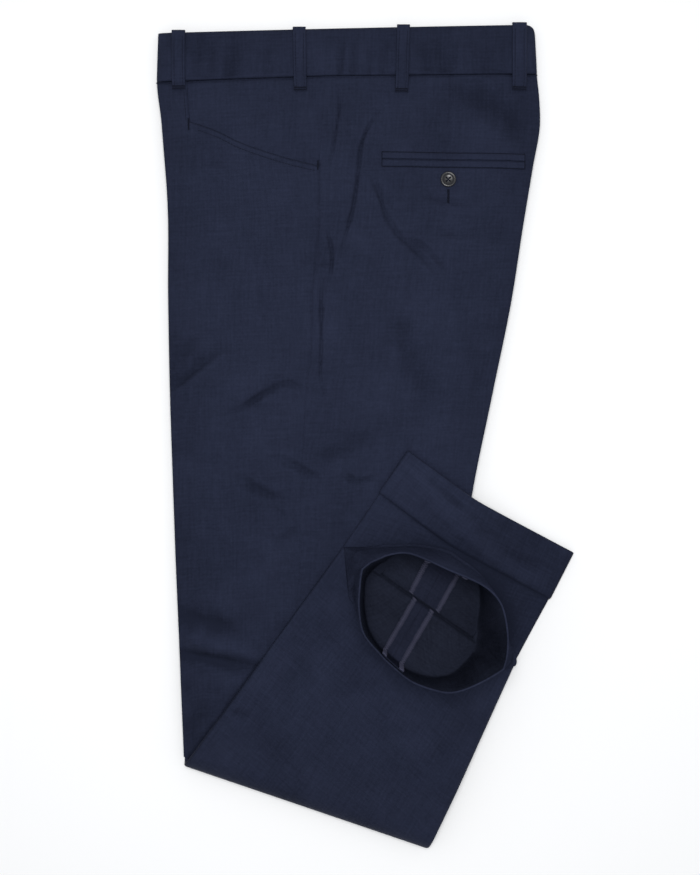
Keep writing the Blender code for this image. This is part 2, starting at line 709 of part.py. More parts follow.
def band_point(share_up, inset, share, side):
    """Plan point of the waistband: share_up runs from the waist seam to the top edge."""
    if side < 0:
        x, y = front_point(0.0, inset, share)
    else:
        x, y = back_point(0.0, inset, share)
    left = read(LEFT_EDGE, BAND_SEAM[0])
    right = read(RIGHT_EDGE, BAND_SEAM[1])
    across = (x - left) / (right - left)
    top_x = mix(BAND_LEFT[0], BAND_RIGHT[0], across)
    return mix(x, top_x, share_up), mix(y + BAND_SEAM_GAP, band_edge(across), share_up)


def band_edge(across):
    """Height in the plan of the band's top edge, which arches a little and falls at the centre back."""
    corner = smooth((across - BAND_CORNER) / (1.0 - BAND_CORNER))
    arch = BAND_ARCH * math.sin(math.pi * across)
    return mix(BAND_LEFT[1], BAND_RIGHT[1], across) + arch - BAND_FALL * corner * corner


def band_heights(x, y, level, drop, upper):
    """Outer and inner face of one half of the band, by the share of its thickness at its folded ends."""
    middle = body_middle(x, y)
    open_share = smooth((level - BAND_CLOSED) / (1.0 - BAND_CLOSED))
    if upper:
        top = body_top(x, y) + BAND_RISE
        outer = mix(middle + LAYER_GAP / 2, top, level) - drop
        inner = mix(middle + LAYER_GAP / 2, top - BAND_CLOTH, open_share)
    else:
        outer = max(0.0, (1.0 - level) * middle * BAND_UNDER_ROLL - LAYER_GAP / 2)
        inner = mix(middle - LAYER_GAP / 2, BAND_CLOTH, open_share)
    return outer, inner


def make_waistbands(finish):
    """Left half of the band on top of the right half, each a little thinner at its folded ends."""
    sections = [(-1, inset, 0.0, level) for inset, level in BAND_END]
    sections += [(-1, 0.0, share, 1.0) for share in BAND_FRONT_SHARES]
    sections += [(1, 0.0, share, 1.0) for share in BAND_BACK_SHARES]
    sections += [(1, inset, 0.0, level) for inset, level in reversed(BAND_END)]
    for name, upper in (("waistband_left", True), ("waistband_right", False)):
        outer = np.zeros((len(BAND_UPS), len(sections), 3))
        inner = np.zeros_like(outer)
        for i, (up, drop) in enumerate(BAND_UPS):
            for j, (side, inset, share, level) in enumerate(sections):
                x, y = band_point(up, inset, share, side)
                high, low = band_heights(x, y, level, drop, upper)
                outer[i, j] = (x, y, high)
                inner[i, j] = (x, y, low)
        slab(name, outer, inner, finish)


def make_belt_loops(finish):
    """Strips over the band, folded over its top edge and sewn down below the waist seam."""
    for name, top_x, bottom_x, width, bottom_y in LOOPS:
        edge = band_edge((top_x - BAND_LEFT[0]) / (BAND_RIGHT[0] - BAND_LEFT[0]))
        stations = [(edge + past, rise, drop) for past, rise, drop in LOOP_TOP]
        stations += [(mix(edge, bottom_y, share), rise, 0.0) for share, rise in LOOP_RUN]
        outer = np.zeros((len(stations), len(LOOP_SECTION), 3))
        inner = np.zeros_like(outer)
        for i, (y, rise, drop) in enumerate(stations):
            share = (edge - y) / (edge - bottom_y)
            for j, (across, soft) in enumerate(LOOP_SECTION):
                x = mix(top_x, bottom_x, share) + across * width
                surface = max(loop_bed(x, y), loop_bed(x, y - LOOP_SLACK)) + LOOP_GAP
                outer[i, j] = (x, y, surface + rise - soft)
                inner[i, j] = (x, y, surface - drop)
        slab(name, outer, inner, finish)


def loop_bed(x, y):
    """Height of the band or the cloth that a belt loop lies on."""
    if y < LOOP_ON_BAND:
        return body_surface(x, y)
    left = x - read(LEFT_EDGE, y)
    right = read(RIGHT_EDGE, y) - x
    rolls = min(bulge(left / LOOP_BED_ROLL), bulge(right / LOOP_BED_ROLL))
    return mix(body_middle(x, y), body_top(x, y) + BAND_RISE, mix(BAND_END[0][1], 1.0, rolls))


# ---------------------------------------------------------------- right leg: underside, fold, top


RIGHT_ROWS = (
    ("body", 0.0), ("body", 1.0), ("body", 2.0), ("body", 3.0), ("body", 4.5), ("body", 6.0), ("body", 8.0),
    ("body", 10.0), ("body", 12.0), ("body", 13.5), ("body", 14.8), ("body", 15.5), ("body", 15.75),
    ("body", 15.88), ("body", 15.96), ("body", 15.992), ("leg", 0.0), ("leg", 0.004), ("leg", 0.018),
    ("leg", 0.045), ("leg", 0.08), ("leg", 0.12), ("leg", 0.17), ("leg", 0.24), ("leg", 0.32), ("leg", 0.42),
    ("leg", 0.52), ("leg", 0.62), ("leg", 0.72), ("leg", 0.81), ("leg", 0.9), ("end", -END_SLOPE),
    ("end", -RING_SLIT - 0.05),
)
FRONT_LEG_SHARES = (0.26, 0.5, 0.75)
BACK_LEG_SHARES = (0.16, 0.28, 0.4, 0.52, 0.64, 0.76, 0.88)
UNDER_INSET = 1.5  # the lower thigh shows this much less than the upper one


def leg_row_of(side, inset, share, past):
    """Row number of a point that lies a given distance past the opening line."""
    near = past_opening(*leg_point(0.9, side, inset, share))
    far = past_opening(*leg_point(1.0, side, inset, share))
    return 0.9 + 0.1 * (past - near) / (far - near)


def right_leg_point(spec, column):
    """Outer face of the right leg's outer cloth, from the waist under the pile, round the knee, to its end."""
    kind, at = spec
    side, inset, share, depth = column
    if kind == "body":
        point = front_point if side < 0 else back_point
        shift = UNDER_INSET * smooth(KNEE_ROW - at) * (1.0 - share)
        x, y = point(at, inset + shift, share)
        distance = max(from_knee(x, y), 0.0)
        height, slope = under_fold(distance)
        turn = np.array((-slope, 1.0)) / math.hypot(slope, 1.0)
        full = (read(MIDDLES, at) - LAYER_GAP / 2 - height) / max(turn[1], 0.5)
    else:
        row = at if kind == "leg" else leg_row_of(side, inset, share, at)
        x, y = leg_point(row, side, inset, share)
        distance = max(from_knee(x, y), 0.0)
        height = upper_leg_end(x, y) + crease_height(LEG_CREASES, x, y) * smooth(distance / 40.0)
        slope = (fold_top(distance + 0.5) - fold_top(distance)) / 0.5
        least = FOLD_SIDE if distance < FOLD_SIDE_END else 0.0
        full = max(upper_leg_end(x, y) - lower_leg_top(x, y) - LAYER_GAP, least)
        turn = np.array((slope, -1.0)) / math.hypot(slope, 1.0)
    full = mix(FOLD_SIDE, full, smooth(distance / FOLD_SIDE_REACH))
    if distance < 0.05:
        turn = np.array((1.0, 0.0))
    x, y = np.array((x, y)) + KNEE_INWARD * turn[0] * depth * full
    return x, y, height + turn[1] * depth * full


def under_fold(distance):
    """Height and slope of the pile's underside, a distance in from the knee fold."""
    half = FOLD_TOP / 2
    height = half - half * bulge(distance / FOLD_ROUND_UNDER)
    ahead = half - half * bulge((distance + 0.5) / FOLD_ROUND_UNDER)
    return height, (ahead - height) / 0.5


def make_right_leg(finish):
    """Right front and right back, each in one piece from the waist to the opened end."""
    columns = [(-1, inset, 0.0, depth) for inset, depth in SMALL_ROLL]
    columns += [(-1, 0.0, share, 0.0) for share in (*FRONT_LEG_SHARES, 1.0)]
    seam = len(columns) - 1
    columns += [(1, 0.0, share, 0.0) for share in reversed(BACK_LEG_SHARES)]
    columns += [(1, inset, 0.0, depth) for inset, depth in reversed(SMALL_ROLL)]
    outer = grid_of(RIGHT_ROWS, columns, right_leg_point)
    inner = outer - turned(face_normals(outer), 1, seam, (0, 0, -1)) * CLOTH
    slab("right_front", *cut_out(outer, inner, 0, seam, (False, True)), finish)
    slab("right_back", *cut_out(outer, inner, seam, len(columns) - 1, (True, False)), finish)


# ---------------------------------------------------------------- folded-up left leg and the layer on it

LOWER_ROWS = (
    0.08, 0.12, 0.18, 0.26, 0.36, 0.48, 0.6, 0.72, 0.84, 0.95, 1.05, 1.3, 1.6, 1.9, 2.0, 2.35, 2.7, 2.965,
)
TUBE_EDGE = ((6.0, 1.0), (2.0, 0.85), (0.0, 0.0))  # distance in, share of half the thickness


def lower_leg_columns():
    """Round the flattened tube: top seam, front edge, bottom seam, back edge; and where the seams are."""
    front = [(-1, 0.0, share, 1.0) for share in (1.0, *reversed(FRONT_LEG_SHARES))]
    front += [(-1, inset, 0.0, level) for inset, level in TUBE_EDGE]
    front += [(side, inset, share, -level) for side, inset, share, level in reversed(front[:-1])]
    back = [(1, 0.0, share, 1.0) for share in reversed(BACK_LEG_SHARES)]
    back += [(1, inset, 0.0, level) for inset, level in TUBE_EDGE]
    back = [(side, inset, share, -level) for side, inset, share, level in back[:-1]] + list(reversed(back))
    return front + back, len(front) - 1


def lower_leg_point(row, column):
    """Outer face of the folded-up left leg, which leaves room for the turn-up under its end."""
    side, inset, share, level = column
    x, y = leg_point(row, side, inset, share)
    low = leg_bed(x, y) + (CLOTH + 2 * LAYER_GAP) * smooth((row - 1.55) / 0.35)
    high = lower_leg_top(x, y)
    return x, y, (low + high) / 2 + level * (high - low) / 2


def make_left_lower(finish):
    """Front and back of the folded-up left leg, apart at both seams, and the turn-up round its hem."""
    columns, bottom_seam = lower_leg_columns()
    outer = grid_of(LOWER_ROWS, columns, lower_leg_point)
    normals = turned(face_normals(outer, closed=True), 5, 0, (0, 0, 1))
    inner = outer - normals * CLOTH
    slab("left_front_lower", *cut_out(outer, inner, 0, bottom_seam), finish)
    slab("left_back_lower", *cut_out(outer, inner, bottom_seam, len(columns)), finish)
    first = LOWER_ROWS.index(CUFF_START)
    onward = outer[-1] - outer[-2]
    make_turn_up("left_cuff", outer[first:], normals[first:], -normals[-1], onward, finish)


def make_turn_up(name, wall, normals, inward, onward, finish):
    """Band lying on the outside of a tube's end, rolled over the end and a little way inside."""
    inward = inward / np.linalg.norm(inward, axis=1, keepdims=True)
    onward = onward / np.linalg.norm(onward, axis=1, keepdims=True)
    outer = list(wall + normals * (LAYER_GAP + CLOTH))
    inner = list(wall + normals * LAYER_GAP)
    for out, past, inner_out, inner_past in LIP:
        away = normals[-1] if out > 0 else -inward
        outer.append(wall[-1] + away * out + onward * past)
        inner.append(wall[-1] + away * inner_out + onward * inner_past)
    slab(name, np.array(outer), np.array(inner), finish, closed=True)


def make_right_inner(finish):
    """Inner face of the folded-up right leg, hidden between the two legs."""
    rows = [row for row in LOWER_ROWS if row < 1.0]
    columns = [(1, 6.0, 0.0)] + [(1, 0.0, share) for share in BACK_LEG_SHARES]
    columns += [(-1, 0.0, share) for share in (1.0, *reversed(FRONT_LEG_SHARES))] + [(-1, 6.0, 0.0)]

    def point(row, column):
        x, y = leg_point(row, *column)
        return x, y, lower_leg_top(x, y) + LAYER_GAP

    inner = grid_of(rows, columns, point)
    outer = inner + np.array((0.0, 0.0, CLOTH))
    slab("right_inner_lower", outer, inner, finish)


# ---------------------------------------------------------------- opened end of the right leg


def ring_stations():
    """The ring's table with rounded stations between its rows, and straight ones along the creases."""
    table = np.array([row[1:] for row in RING], float)
    stations = []
    for i, row in enumerate(RING):
        before, here, after, later = (table[(i + k) % len(RING)] for k in (-1, 0, 1, 2))
        straight = "crease" in row[0] and "crease" in RING[(i + 1) % len(RING)][0]
        for step in range(RING_STATIONS):
            u = step / RING_STATIONS
            pull = after - before
            bend = 2 * before - 5 * here + 4 * after - later
            twist = 3 * here - before - 3 * after + later
            rounded = here + 0.5 * (pull * u + bend * u**2 + twist * u**3)
            stations.append(mix(here, after, u) if straight else rounded)
    return stations


def ring_bed(s, p):
    """What the opened end lies on: the right leg and its folded edge, or the left leg beyond it."""
    x, y = ring_plan(s, p)
    if p <= -RING_SLIT:
        return upper_leg_end(x, y) + RING_LIFT
    low = lower_leg_top(x, y) + RING_LIFT
    high = upper_leg_end(*ring_plan(s, -RING_SLIT)) + RING_LIFT
    if SLIT_START <= s <= SLIT_END:
        return mix(high, low, (p + RING_SLIT) / (2 * RING_SLIT)) if p < RING_SLIT else low
    return max(low, mix(high, low, smooth((p - RING_SLIT) / 14.0)))


def floor_shares(far_p):
    """Shares of the way out over the floor, one of them where the folded edge below it ends."""
    reach = max(abs(far_p) - RING_SLIT, 1.0)
    bend = min((END_SLOPE + 0.3 - RING_SLIT) / reach, 0.6)
    return [0.0, bend, *[mix(bend, 1.0, share) for share in RING_FLOOR_STEPS]]


def ring_lines(station):
    """Outer and inner face of the ring at a station, from the slit in its floor up to its rim."""
    rim_s, rim_p, foot_s, foot_p, in_s, in_p = station
    fan = SLIT_FAN * abs(in_p)
    slit_s = min(max(mix(rim_s, in_s, 0.5), SLIT_START + fan), SLIT_END - fan)
    slit_p = min(max(in_p * SLIT_FAN / 2, -RING_SLIT), RING_SLIT)
    outer = []
    inner = []
    for line, far_s, far_p, rise in ((outer, foot_s, foot_p, 0.0), (inner, in_s, in_p, CLOTH)):
        for share in floor_shares(far_p):
            s = mix(slit_s, far_s, share)
            p = mix(slit_p, far_p, share)
            line.append((*ring_plan(s, p), ring_bed(s, p) + rise))
    rim = ring_plan(rim_s, rim_p)
    rim_z = lower_leg_top(*ring_plan(mix(rim_s, 100.0, 0.35), rim_p * 0.65)) + RING_HEIGHT
    for line in (outer, inner):
        foot = np.array(line[-1])
        run = np.linalg.norm(rim - foot[:2])
        for share in RING_STEPS[1:]:
            x, y = mix(foot[:2], rim, ring_lean(share, run))
            line.append((x, y, mix(foot[2], rim_z, share)))
    return outer, inner


def ring_lean(share, run):
    """How far a wall of the ring has come in from its foot to its rim, at a share of its height."""
    plain = share - RING_LEAN * math.sin(math.pi * share)
    ear = 1.0 - (1.0 - share) ** RING_EAR
    return mix(plain, ear, smooth((run - RING_EAR_RUN[0]) / (RING_EAR_RUN[1] - RING_EAR_RUN[0])))


def ring_grids():
    """Outer and inner faces of the whole ring, a row for each level and a column for each station."""
    lines = [ring_lines(station) for station in ring_stations()]
    outer = np.array([line[0] for line in lines]).transpose(1, 0, 2)
    inner = np.array([line[1] for line in lines]).transpose(1, 0, 2)
    around = np.roll(outer[-1], -1, axis=0) - np.roll(outer[-1], 1, axis=0)
    inward = np.column_stack((around[:, 1], -around[:, 0], np.zeros(len(around))))
    inward /= np.linalg.norm(inward, axis=1, keepdims=True)
    middle = outer[-1].mean(axis=0)
    if inward[0] @ (middle - outer[-1, 0]) < 0:
        inward = -inward
    walls = len(RING_STEPS) - 1
    for level, share in enumerate(RING_STEPS[1:]):
        inner[-walls + level] += inward * CLOTH * ring_lean(share, 0.0)
    return outer, inner, inward


def make_ring(finish, lining):
    """Front and back halves of the opened leg end, its turn-up, and the seam allowances inside it."""
    outer, inner, inward = ring_grids()
    outseam = RING_OUTSEAM * RING_STATIONS
    slab("right_front_end", *cut_out(outer, inner, 0, outseam), finish)
    slab("right_back_end", *cut_out(outer, inner, outseam, len(RING) * RING_STATIONS), finish)
    normals = turned(face_normals(outer, closed=True), -2, 0, -inward[0])
    first = RING_STEPS.index(RING_CUFF_START) - len(RING_STEPS)
    make_turn_up("right_cuff", outer[first:], normals[first:], inward, outer[-1] - outer[-2], finish)
    facing = turned(face_normals(inner, closed=True), -2, 0, inward[0])
    for name, seam, step in (
        ("inseam_allowance_front", 0, 1),
        ("inseam_allowance_back", 0, -1),
        ("outseam_allowance_front", outseam, -1),
        ("outseam_allowance_back", outseam, 1),
    ):
        beside = (seam + step) % inner.shape[1]
        near, far = inner[ALLOWANCE_LEVELS, seam], inner[ALLOWANCE_LEVELS, beside]
        lift_near, lift_far = facing[ALLOWANCE_LEVELS, seam], facing[ALLOWANCE_LEVELS, beside]
        strip = np.array([mix(near, far, share) for share in ALLOWANCE_SIDES]).transpose(1, 0, 2)
        lift = np.array([mix(lift_near, lift_far, share) for share in ALLOWANCE_SIDES]).transpose(1, 0, 2)
        slab(name, strip + lift * (WELT_LIFT + ALLOWANCE_CLOTH), strip + lift * WELT_LIFT, lining)


# ---------------------------------------------------------------- hidden layers

CORE_ROWS = (0.2, 0.6, 1.0, 1.5, 2.0, 3.0, 4.2, 5.4, 6.6, 7.8, 9.0, 10.2, 11.8, 12.9, 14.0, 14.8, 15.4)
CORE_EDGE = ((6.6, 0.0), (8.6, 0.6), (13.0, 0.9), (21.0, 1.0))  # distance in, share of the full thickness
CORE_FRONT_SHARES = (0.32, 0.65)
CORE_BACK_SHARES = (1.0, 0.75, 0.5, 0.28)
CORE_RIM = 0.9  # half the thickness at its edge


def make_hidden_layers(finish):
    """Inner faces of both thighs, pocket bags and fly, as one rounded solid inside the pile."""
    columns = [(-1, inset, 0.0, full) for inset, full in CORE_EDGE]
    columns += [(-1, 0.0, share, 1.0) for share in CORE_FRONT_SHARES]
    columns += [(1, 0.0, share, 1.0) for share in CORE_BACK_SHARES]
    columns += [(1, inset, 0.0, full) for inset, full in reversed(CORE_EDGE)]
    outer = np.zeros((len(CORE_ROWS), len(columns), 3))
    inner = np.zeros_like(outer)
    for i, row in enumerate(CORE_ROWS):
        middle = read(MIDDLES, row)
        for j, (side, inset, share, full) in enumerate(columns):
            point = front_point if side < 0 else back_point
            x, y = point(row, inset, share)
            outer[i, j] = (x, y, mix(middle + CORE_RIM, body_top(x, y) - CORE_DROP, full))
            inner[i, j] = (x, y, mix(middle - CORE_RIM, CORE_LIFT, full))
    slab("hidden_layers", outer, inner, finish)


def settle():
    """Move everything so that the outline's middle is over the origin and its lowest point on the surface."""
    made = [item for item in bpy.data.objects if item.type == "MESH"]
    corners = np.array([vertex.co for item in made for vertex in item.data.vertices])
    low, high = corners.min(axis=0), corners.max(axis=0)
    shift = Vector((-(low[0] + high[0]) / 2, -(low[1] + high[1]) / 2, -low[2]))
    for item in made:
        item.data.transform(Matrix.Translation(shift))


def main():
    for old in list(bpy.data.objects):
        bpy.data.objects.remove(old, do_unlink=True)
    cloth = material("navy twill", NAVY, 0.85)
    inside = material("navy twill inside", NAVY_INSIDE, 0.9)
    button = material("dark grey button", BUTTON_GREY, 0.35)
    make_upper_thigh(cloth)
    make_bearer(cloth)
    make_welts(cloth)
    make_button(button)
    make_waistbands(cloth)
    make_belt_loops(cloth)
    make_right_leg(cloth)
    make_left_lower(cloth)
    make_right_inner(inside)
    make_ring(cloth, inside)
    make_hidden_layers(inside)
    settle()


main()
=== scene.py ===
import math
import bpy
import numpy as np
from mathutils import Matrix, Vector


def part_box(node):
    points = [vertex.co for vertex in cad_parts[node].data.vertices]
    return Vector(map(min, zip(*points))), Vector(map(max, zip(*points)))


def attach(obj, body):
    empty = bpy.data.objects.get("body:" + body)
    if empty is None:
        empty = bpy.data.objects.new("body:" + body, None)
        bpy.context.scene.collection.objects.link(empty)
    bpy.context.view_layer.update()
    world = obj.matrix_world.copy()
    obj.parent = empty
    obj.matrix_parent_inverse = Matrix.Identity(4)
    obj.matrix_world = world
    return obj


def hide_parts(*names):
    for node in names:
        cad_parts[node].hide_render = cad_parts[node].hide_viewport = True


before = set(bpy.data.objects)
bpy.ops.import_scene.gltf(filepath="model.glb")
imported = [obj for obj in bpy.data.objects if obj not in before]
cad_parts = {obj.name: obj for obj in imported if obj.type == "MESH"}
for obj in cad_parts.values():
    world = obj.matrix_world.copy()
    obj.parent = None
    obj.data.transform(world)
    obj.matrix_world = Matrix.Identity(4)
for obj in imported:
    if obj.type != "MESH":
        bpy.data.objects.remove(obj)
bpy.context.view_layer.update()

mm = 0.001
print("frame loaded")

# Navy chinos folded in half, both legs folded up at the knee, the right hem pushed open.
# Every size below is in millimetres, X across, Y towards the waist, Z up from the table.

# thicknesses and levels of the pile
cloth = {
    "twill": 1.2,  # one layer, with its puffiness
    "seamGap": 0.06,
    "layerGap": 0.3,
    "sewnLift": 0.5,  # under what is sewn onto a panel
    "band": 3.0,
}
pile = {
    "thighTop": 16.0,
    "thighFold": 11.0,  # at the knee fold
    "middle": 8.0,
    "middleFold": 5.0,
    "foldTop": 20.0,
    "foldRound": 17.0,
    "foldRoundUnder": 14.0,
    "foldSide": 4.4,
    "lowerLeg": 5.6,
    "lowerLegFold": 3.6,
    "upperLeg": 5.6,
    "legLift": 0.6,
    "foldReach": 60.0,  # how far from the knee fold the pile gets its full height
    "topReach": 70.0,
    "drapeStart": -16.0,
    "drapeSpan": 94.0,
    "drapeKnee": 25.0,
    "endStart": 0.6,  # the upper leg slopes down to its open end
    "endSlope": 3.2,
    "endGap": 1.9,
    "endSides": (4.0, 24.0),
}

# outline of the body, y and x of each point
frontCrease = (
    (400.0, -201.7), (391.0, -202.1), (345.0, -203.3), (310.0, -199.8), (278.0, -196.8), (233.0, -192.9),
    (135.0, -191.9), (36.0, -190.0), (-42.0, -187.4), (-120.0, -184.6), (-217.0, -180.5), (-319.8, -176.9),
    (-340.0, -176.4),
)
seatEdge = (
    (400.0, 164.2), (387.0, 165.0), (352.7, 166.8), (330.0, 169.0), (305.0, 169.7), (262.0, 162.6),
    (206.5, 153.3), (135.6, 142.3), (35.6, 122.0), (-59.1, 103.0), (-142.0, 92.6), (-271.0, 76.7),
    (-400.6, 60.8), (-420.0, 58.4),
)
sideSeam = (
    (380.0, -38.0), (350.8, -39.4), (306.5, -42.3), (262.8, -44.7), (190.0, -46.2), (147.0, -51.0),
    (74.0, -53.9), (46.0, -58.0), (11.0, -59.6), (-36.0, -62.6), (-118.0, -63.6), (-147.0, -65.5),
    (-245.0, -73.3), (-352.6, -80.4), (-380.0, -82.0),
)
# rows of the body from waist to knee: y at the front crease, at the side seam and at the seat
bodyRows = np.array((
    (345.0, 350.8, 352.7), (321.0, 306.5, 305.0), (300.0, 262.8, 262.0), (250.0, 222.0, 221.0),
    (200.0, 190.0, 188.0), (150.0, 147.0, 145.0), (100.0, 95.0, 95.0), (60.0, 60.0, 60.0),
    (25.0, 20.0, 20.0), (-20.0, -20.0, -20.0), (-65.0, -65.0, -65.0), (-110.0, -115.0, -117.0),
    (-155.0, -165.0, -167.0), (-200.0, -215.0, -220.0), (-240.0, -260.0, -270.0), (-280.0, -305.0, -330.0),
    (-319.8, -352.6, -400.6),
))
mouthRow = 2.0  # where the front pocket opens
# y, top and middle of the pile
waistHeights = ((400.0, 9.5, 4.7), (352.0, 10.7, 5.2), (306.0, 13.0, 6.4), (263.0, 15.2, 7.5), (222.0, 16.0, 8.0))
# row of the body, middle of the pile at its curled edges
middles = ((0.0, 5.2), (1.0, 6.4), (2.0, 7.5), (3.0, 8.0), (14.0, 8.0), (16.0, 5.4))
# folded-up legs: left edge x, y, right edge x, y, sag of the row towards the knee
legRows = np.array((
    (-176.9, -319.8, 60.8, -400.6, 0.0),
    (-21.9, -106.0, 144.2, -222.9, 0.0),
    (13.7, -54.3, 179.1, -158.1, 7.5),
    (41.6, -13.8, 202.4, -112.3, 7.0),
))
legSeam = ((0.0, 0.406), (1.0, 0.469), (3.0, 0.47))  # row, share of the width


# small sums, all of them on arrays
def smooth(t):
    t = np.clip(t, 0.0, 1.0)
    return t * t * (3.0 - 2.0 * t)


def bulge(t):
    return np.sqrt(np.maximum(1.0 - (1.0 - np.clip(t, 0.0, 1.0)) ** 2, 0.0))


def mix(a, b, t):
    return a + (b - a) * t


# one bell of height 1 across a line
def trench(away, width):
    return np.exp(-((away / width) ** 2))


def line(table, at, column=1):
    rows = sorted(table)
    return np.interp(at, [r[0] for r in rows], [r[column] for r in rows])


# rounded reading of a table, through its points
def curve(table, at, column=1):
    rows = sorted(table)
    x = np.array([r[0] for r in rows], float)
    y = np.array([r[column] for r in rows], float)
    slope = np.gradient(y, x)
    i = np.clip(np.searchsorted(x, at, side="right") - 1, 0, len(x) - 2)
    width = x[i + 1] - x[i]
    t = np.clip((at - x[i]) / width, 0.0, 1.0)
    a = (1 + 2 * t) * (1 - t) ** 2
    b = t * (1 - t) ** 2
    return a * y[i] + b * width * slope[i] + (1 - a) * y[i + 1] + t * t * (t - 1) * width * slope[i + 1]


def readRows(rows, at):
    at = np.asarray(at, float)
    i = np.clip(np.floor(at).astype(int), 0, len(rows) - 2)
    return mix(rows[i], rows[i + 1], (at - i)[..., None])


# soft bumps of one size, the same every time for a seed
def ripple(x, y, size, seed):
    table = np.random.default_rng(seed).uniform(-1.0, 1.0, (64, 64))
    gx, gy = x / size + 17.3, y / size + 11.7
    ix, iy = np.floor(gx).astype(int), np.floor(gy).astype(int)
    tx, ty = smooth(gx - ix), smooth(gy - iy)
    ix, iy, jx, jy = ix % 64, iy % 64, (ix + 1) % 64, (iy + 1) % 64
    return mix(mix(table[ix, iy], table[jx, iy], tx), mix(table[ix, jy], table[jx, jy], tx), ty)


# bumps given as height, size and seed
def bumps(x, y, given, scale=1.0):
    height, size, seed = given
    return height * scale * ripple(x, y, size, seed)


# a smooth path through a few points, with count points
def throughPoints(points, count):
    points = np.array(points, float)
    at = pathLengths(points)
    want = np.linspace(0.0, at[-1], count)
    columns = [curve(list(zip(at, points[:, k])), want) for k in range(points.shape[1])]
    return np.stack(columns, axis=-1)


def pathLengths(path):
    return np.concatenate(([0.0], np.cumsum(np.linalg.norm(np.diff(path, axis=0), axis=1))))


# rows of a table of 3-D values, read between them
def sample(want, at, values):
    return np.stack([np.interp(want, at, values[:, k]) for k in range(3)], axis=-1)


def stepped(start, end, step):
    count = max(int(round(abs(end - start) / step)), 1)
    return list(np.linspace(start, end, count + 1))


def points3d(x, y, z):
    return np.stack(np.broadcast_arrays(x, y, z), axis=-1)


# one array for each value of a list of columns, laid along the row
def columnValues(columns):
    return np.array(columns, float).T[:, None, :]


# the knee fold and the line where the leg end opens, each with the way along it and the way across it
kneeLeft, kneeRight = legRows[0][0:2], legRows[0][2:4]
kneeAlong = (kneeRight - kneeLeft) / np.linalg.norm(kneeRight - kneeLeft)
kneeInward = np.array((-kneeAlong[1], kneeAlong[0]))
openLeft, openRight = legRows[1][0:2], legRows[1][2:4]
openWidth = np.linalg.norm(openRight - openLeft)
openAlong = (openRight - openLeft) / openWidth
openOutward = np.array((-openAlong[1], openAlong[0]))
seatLine = ((103.0, -59.1), (0.9923, -0.1239))  # a point of the seat edge and the way out of it
legEdge = ((-177.0, -320.0), (0.806, -0.592))  # a point of the folded-up legs' left edge and the way into them


def dotFrom(x, y, origin, direction):
    return (x - origin[0]) * direction[0] + (y - origin[1]) * direction[1]


def fromKnee(x, y):
    return dotFrom(x, y, kneeLeft, kneeInward)


def pastThigh(x, y):
    return dotFrom(x, y, *seatLine)


def pastLegEdge(x, y):
    return dotFrom(x, y, *legEdge)


def pastOpening(x, y):
    return dotFrom(x, y, openLeft, openOutward)


def alongOpening(x, y):
    return dotFrom(x, y, openLeft, openAlong)


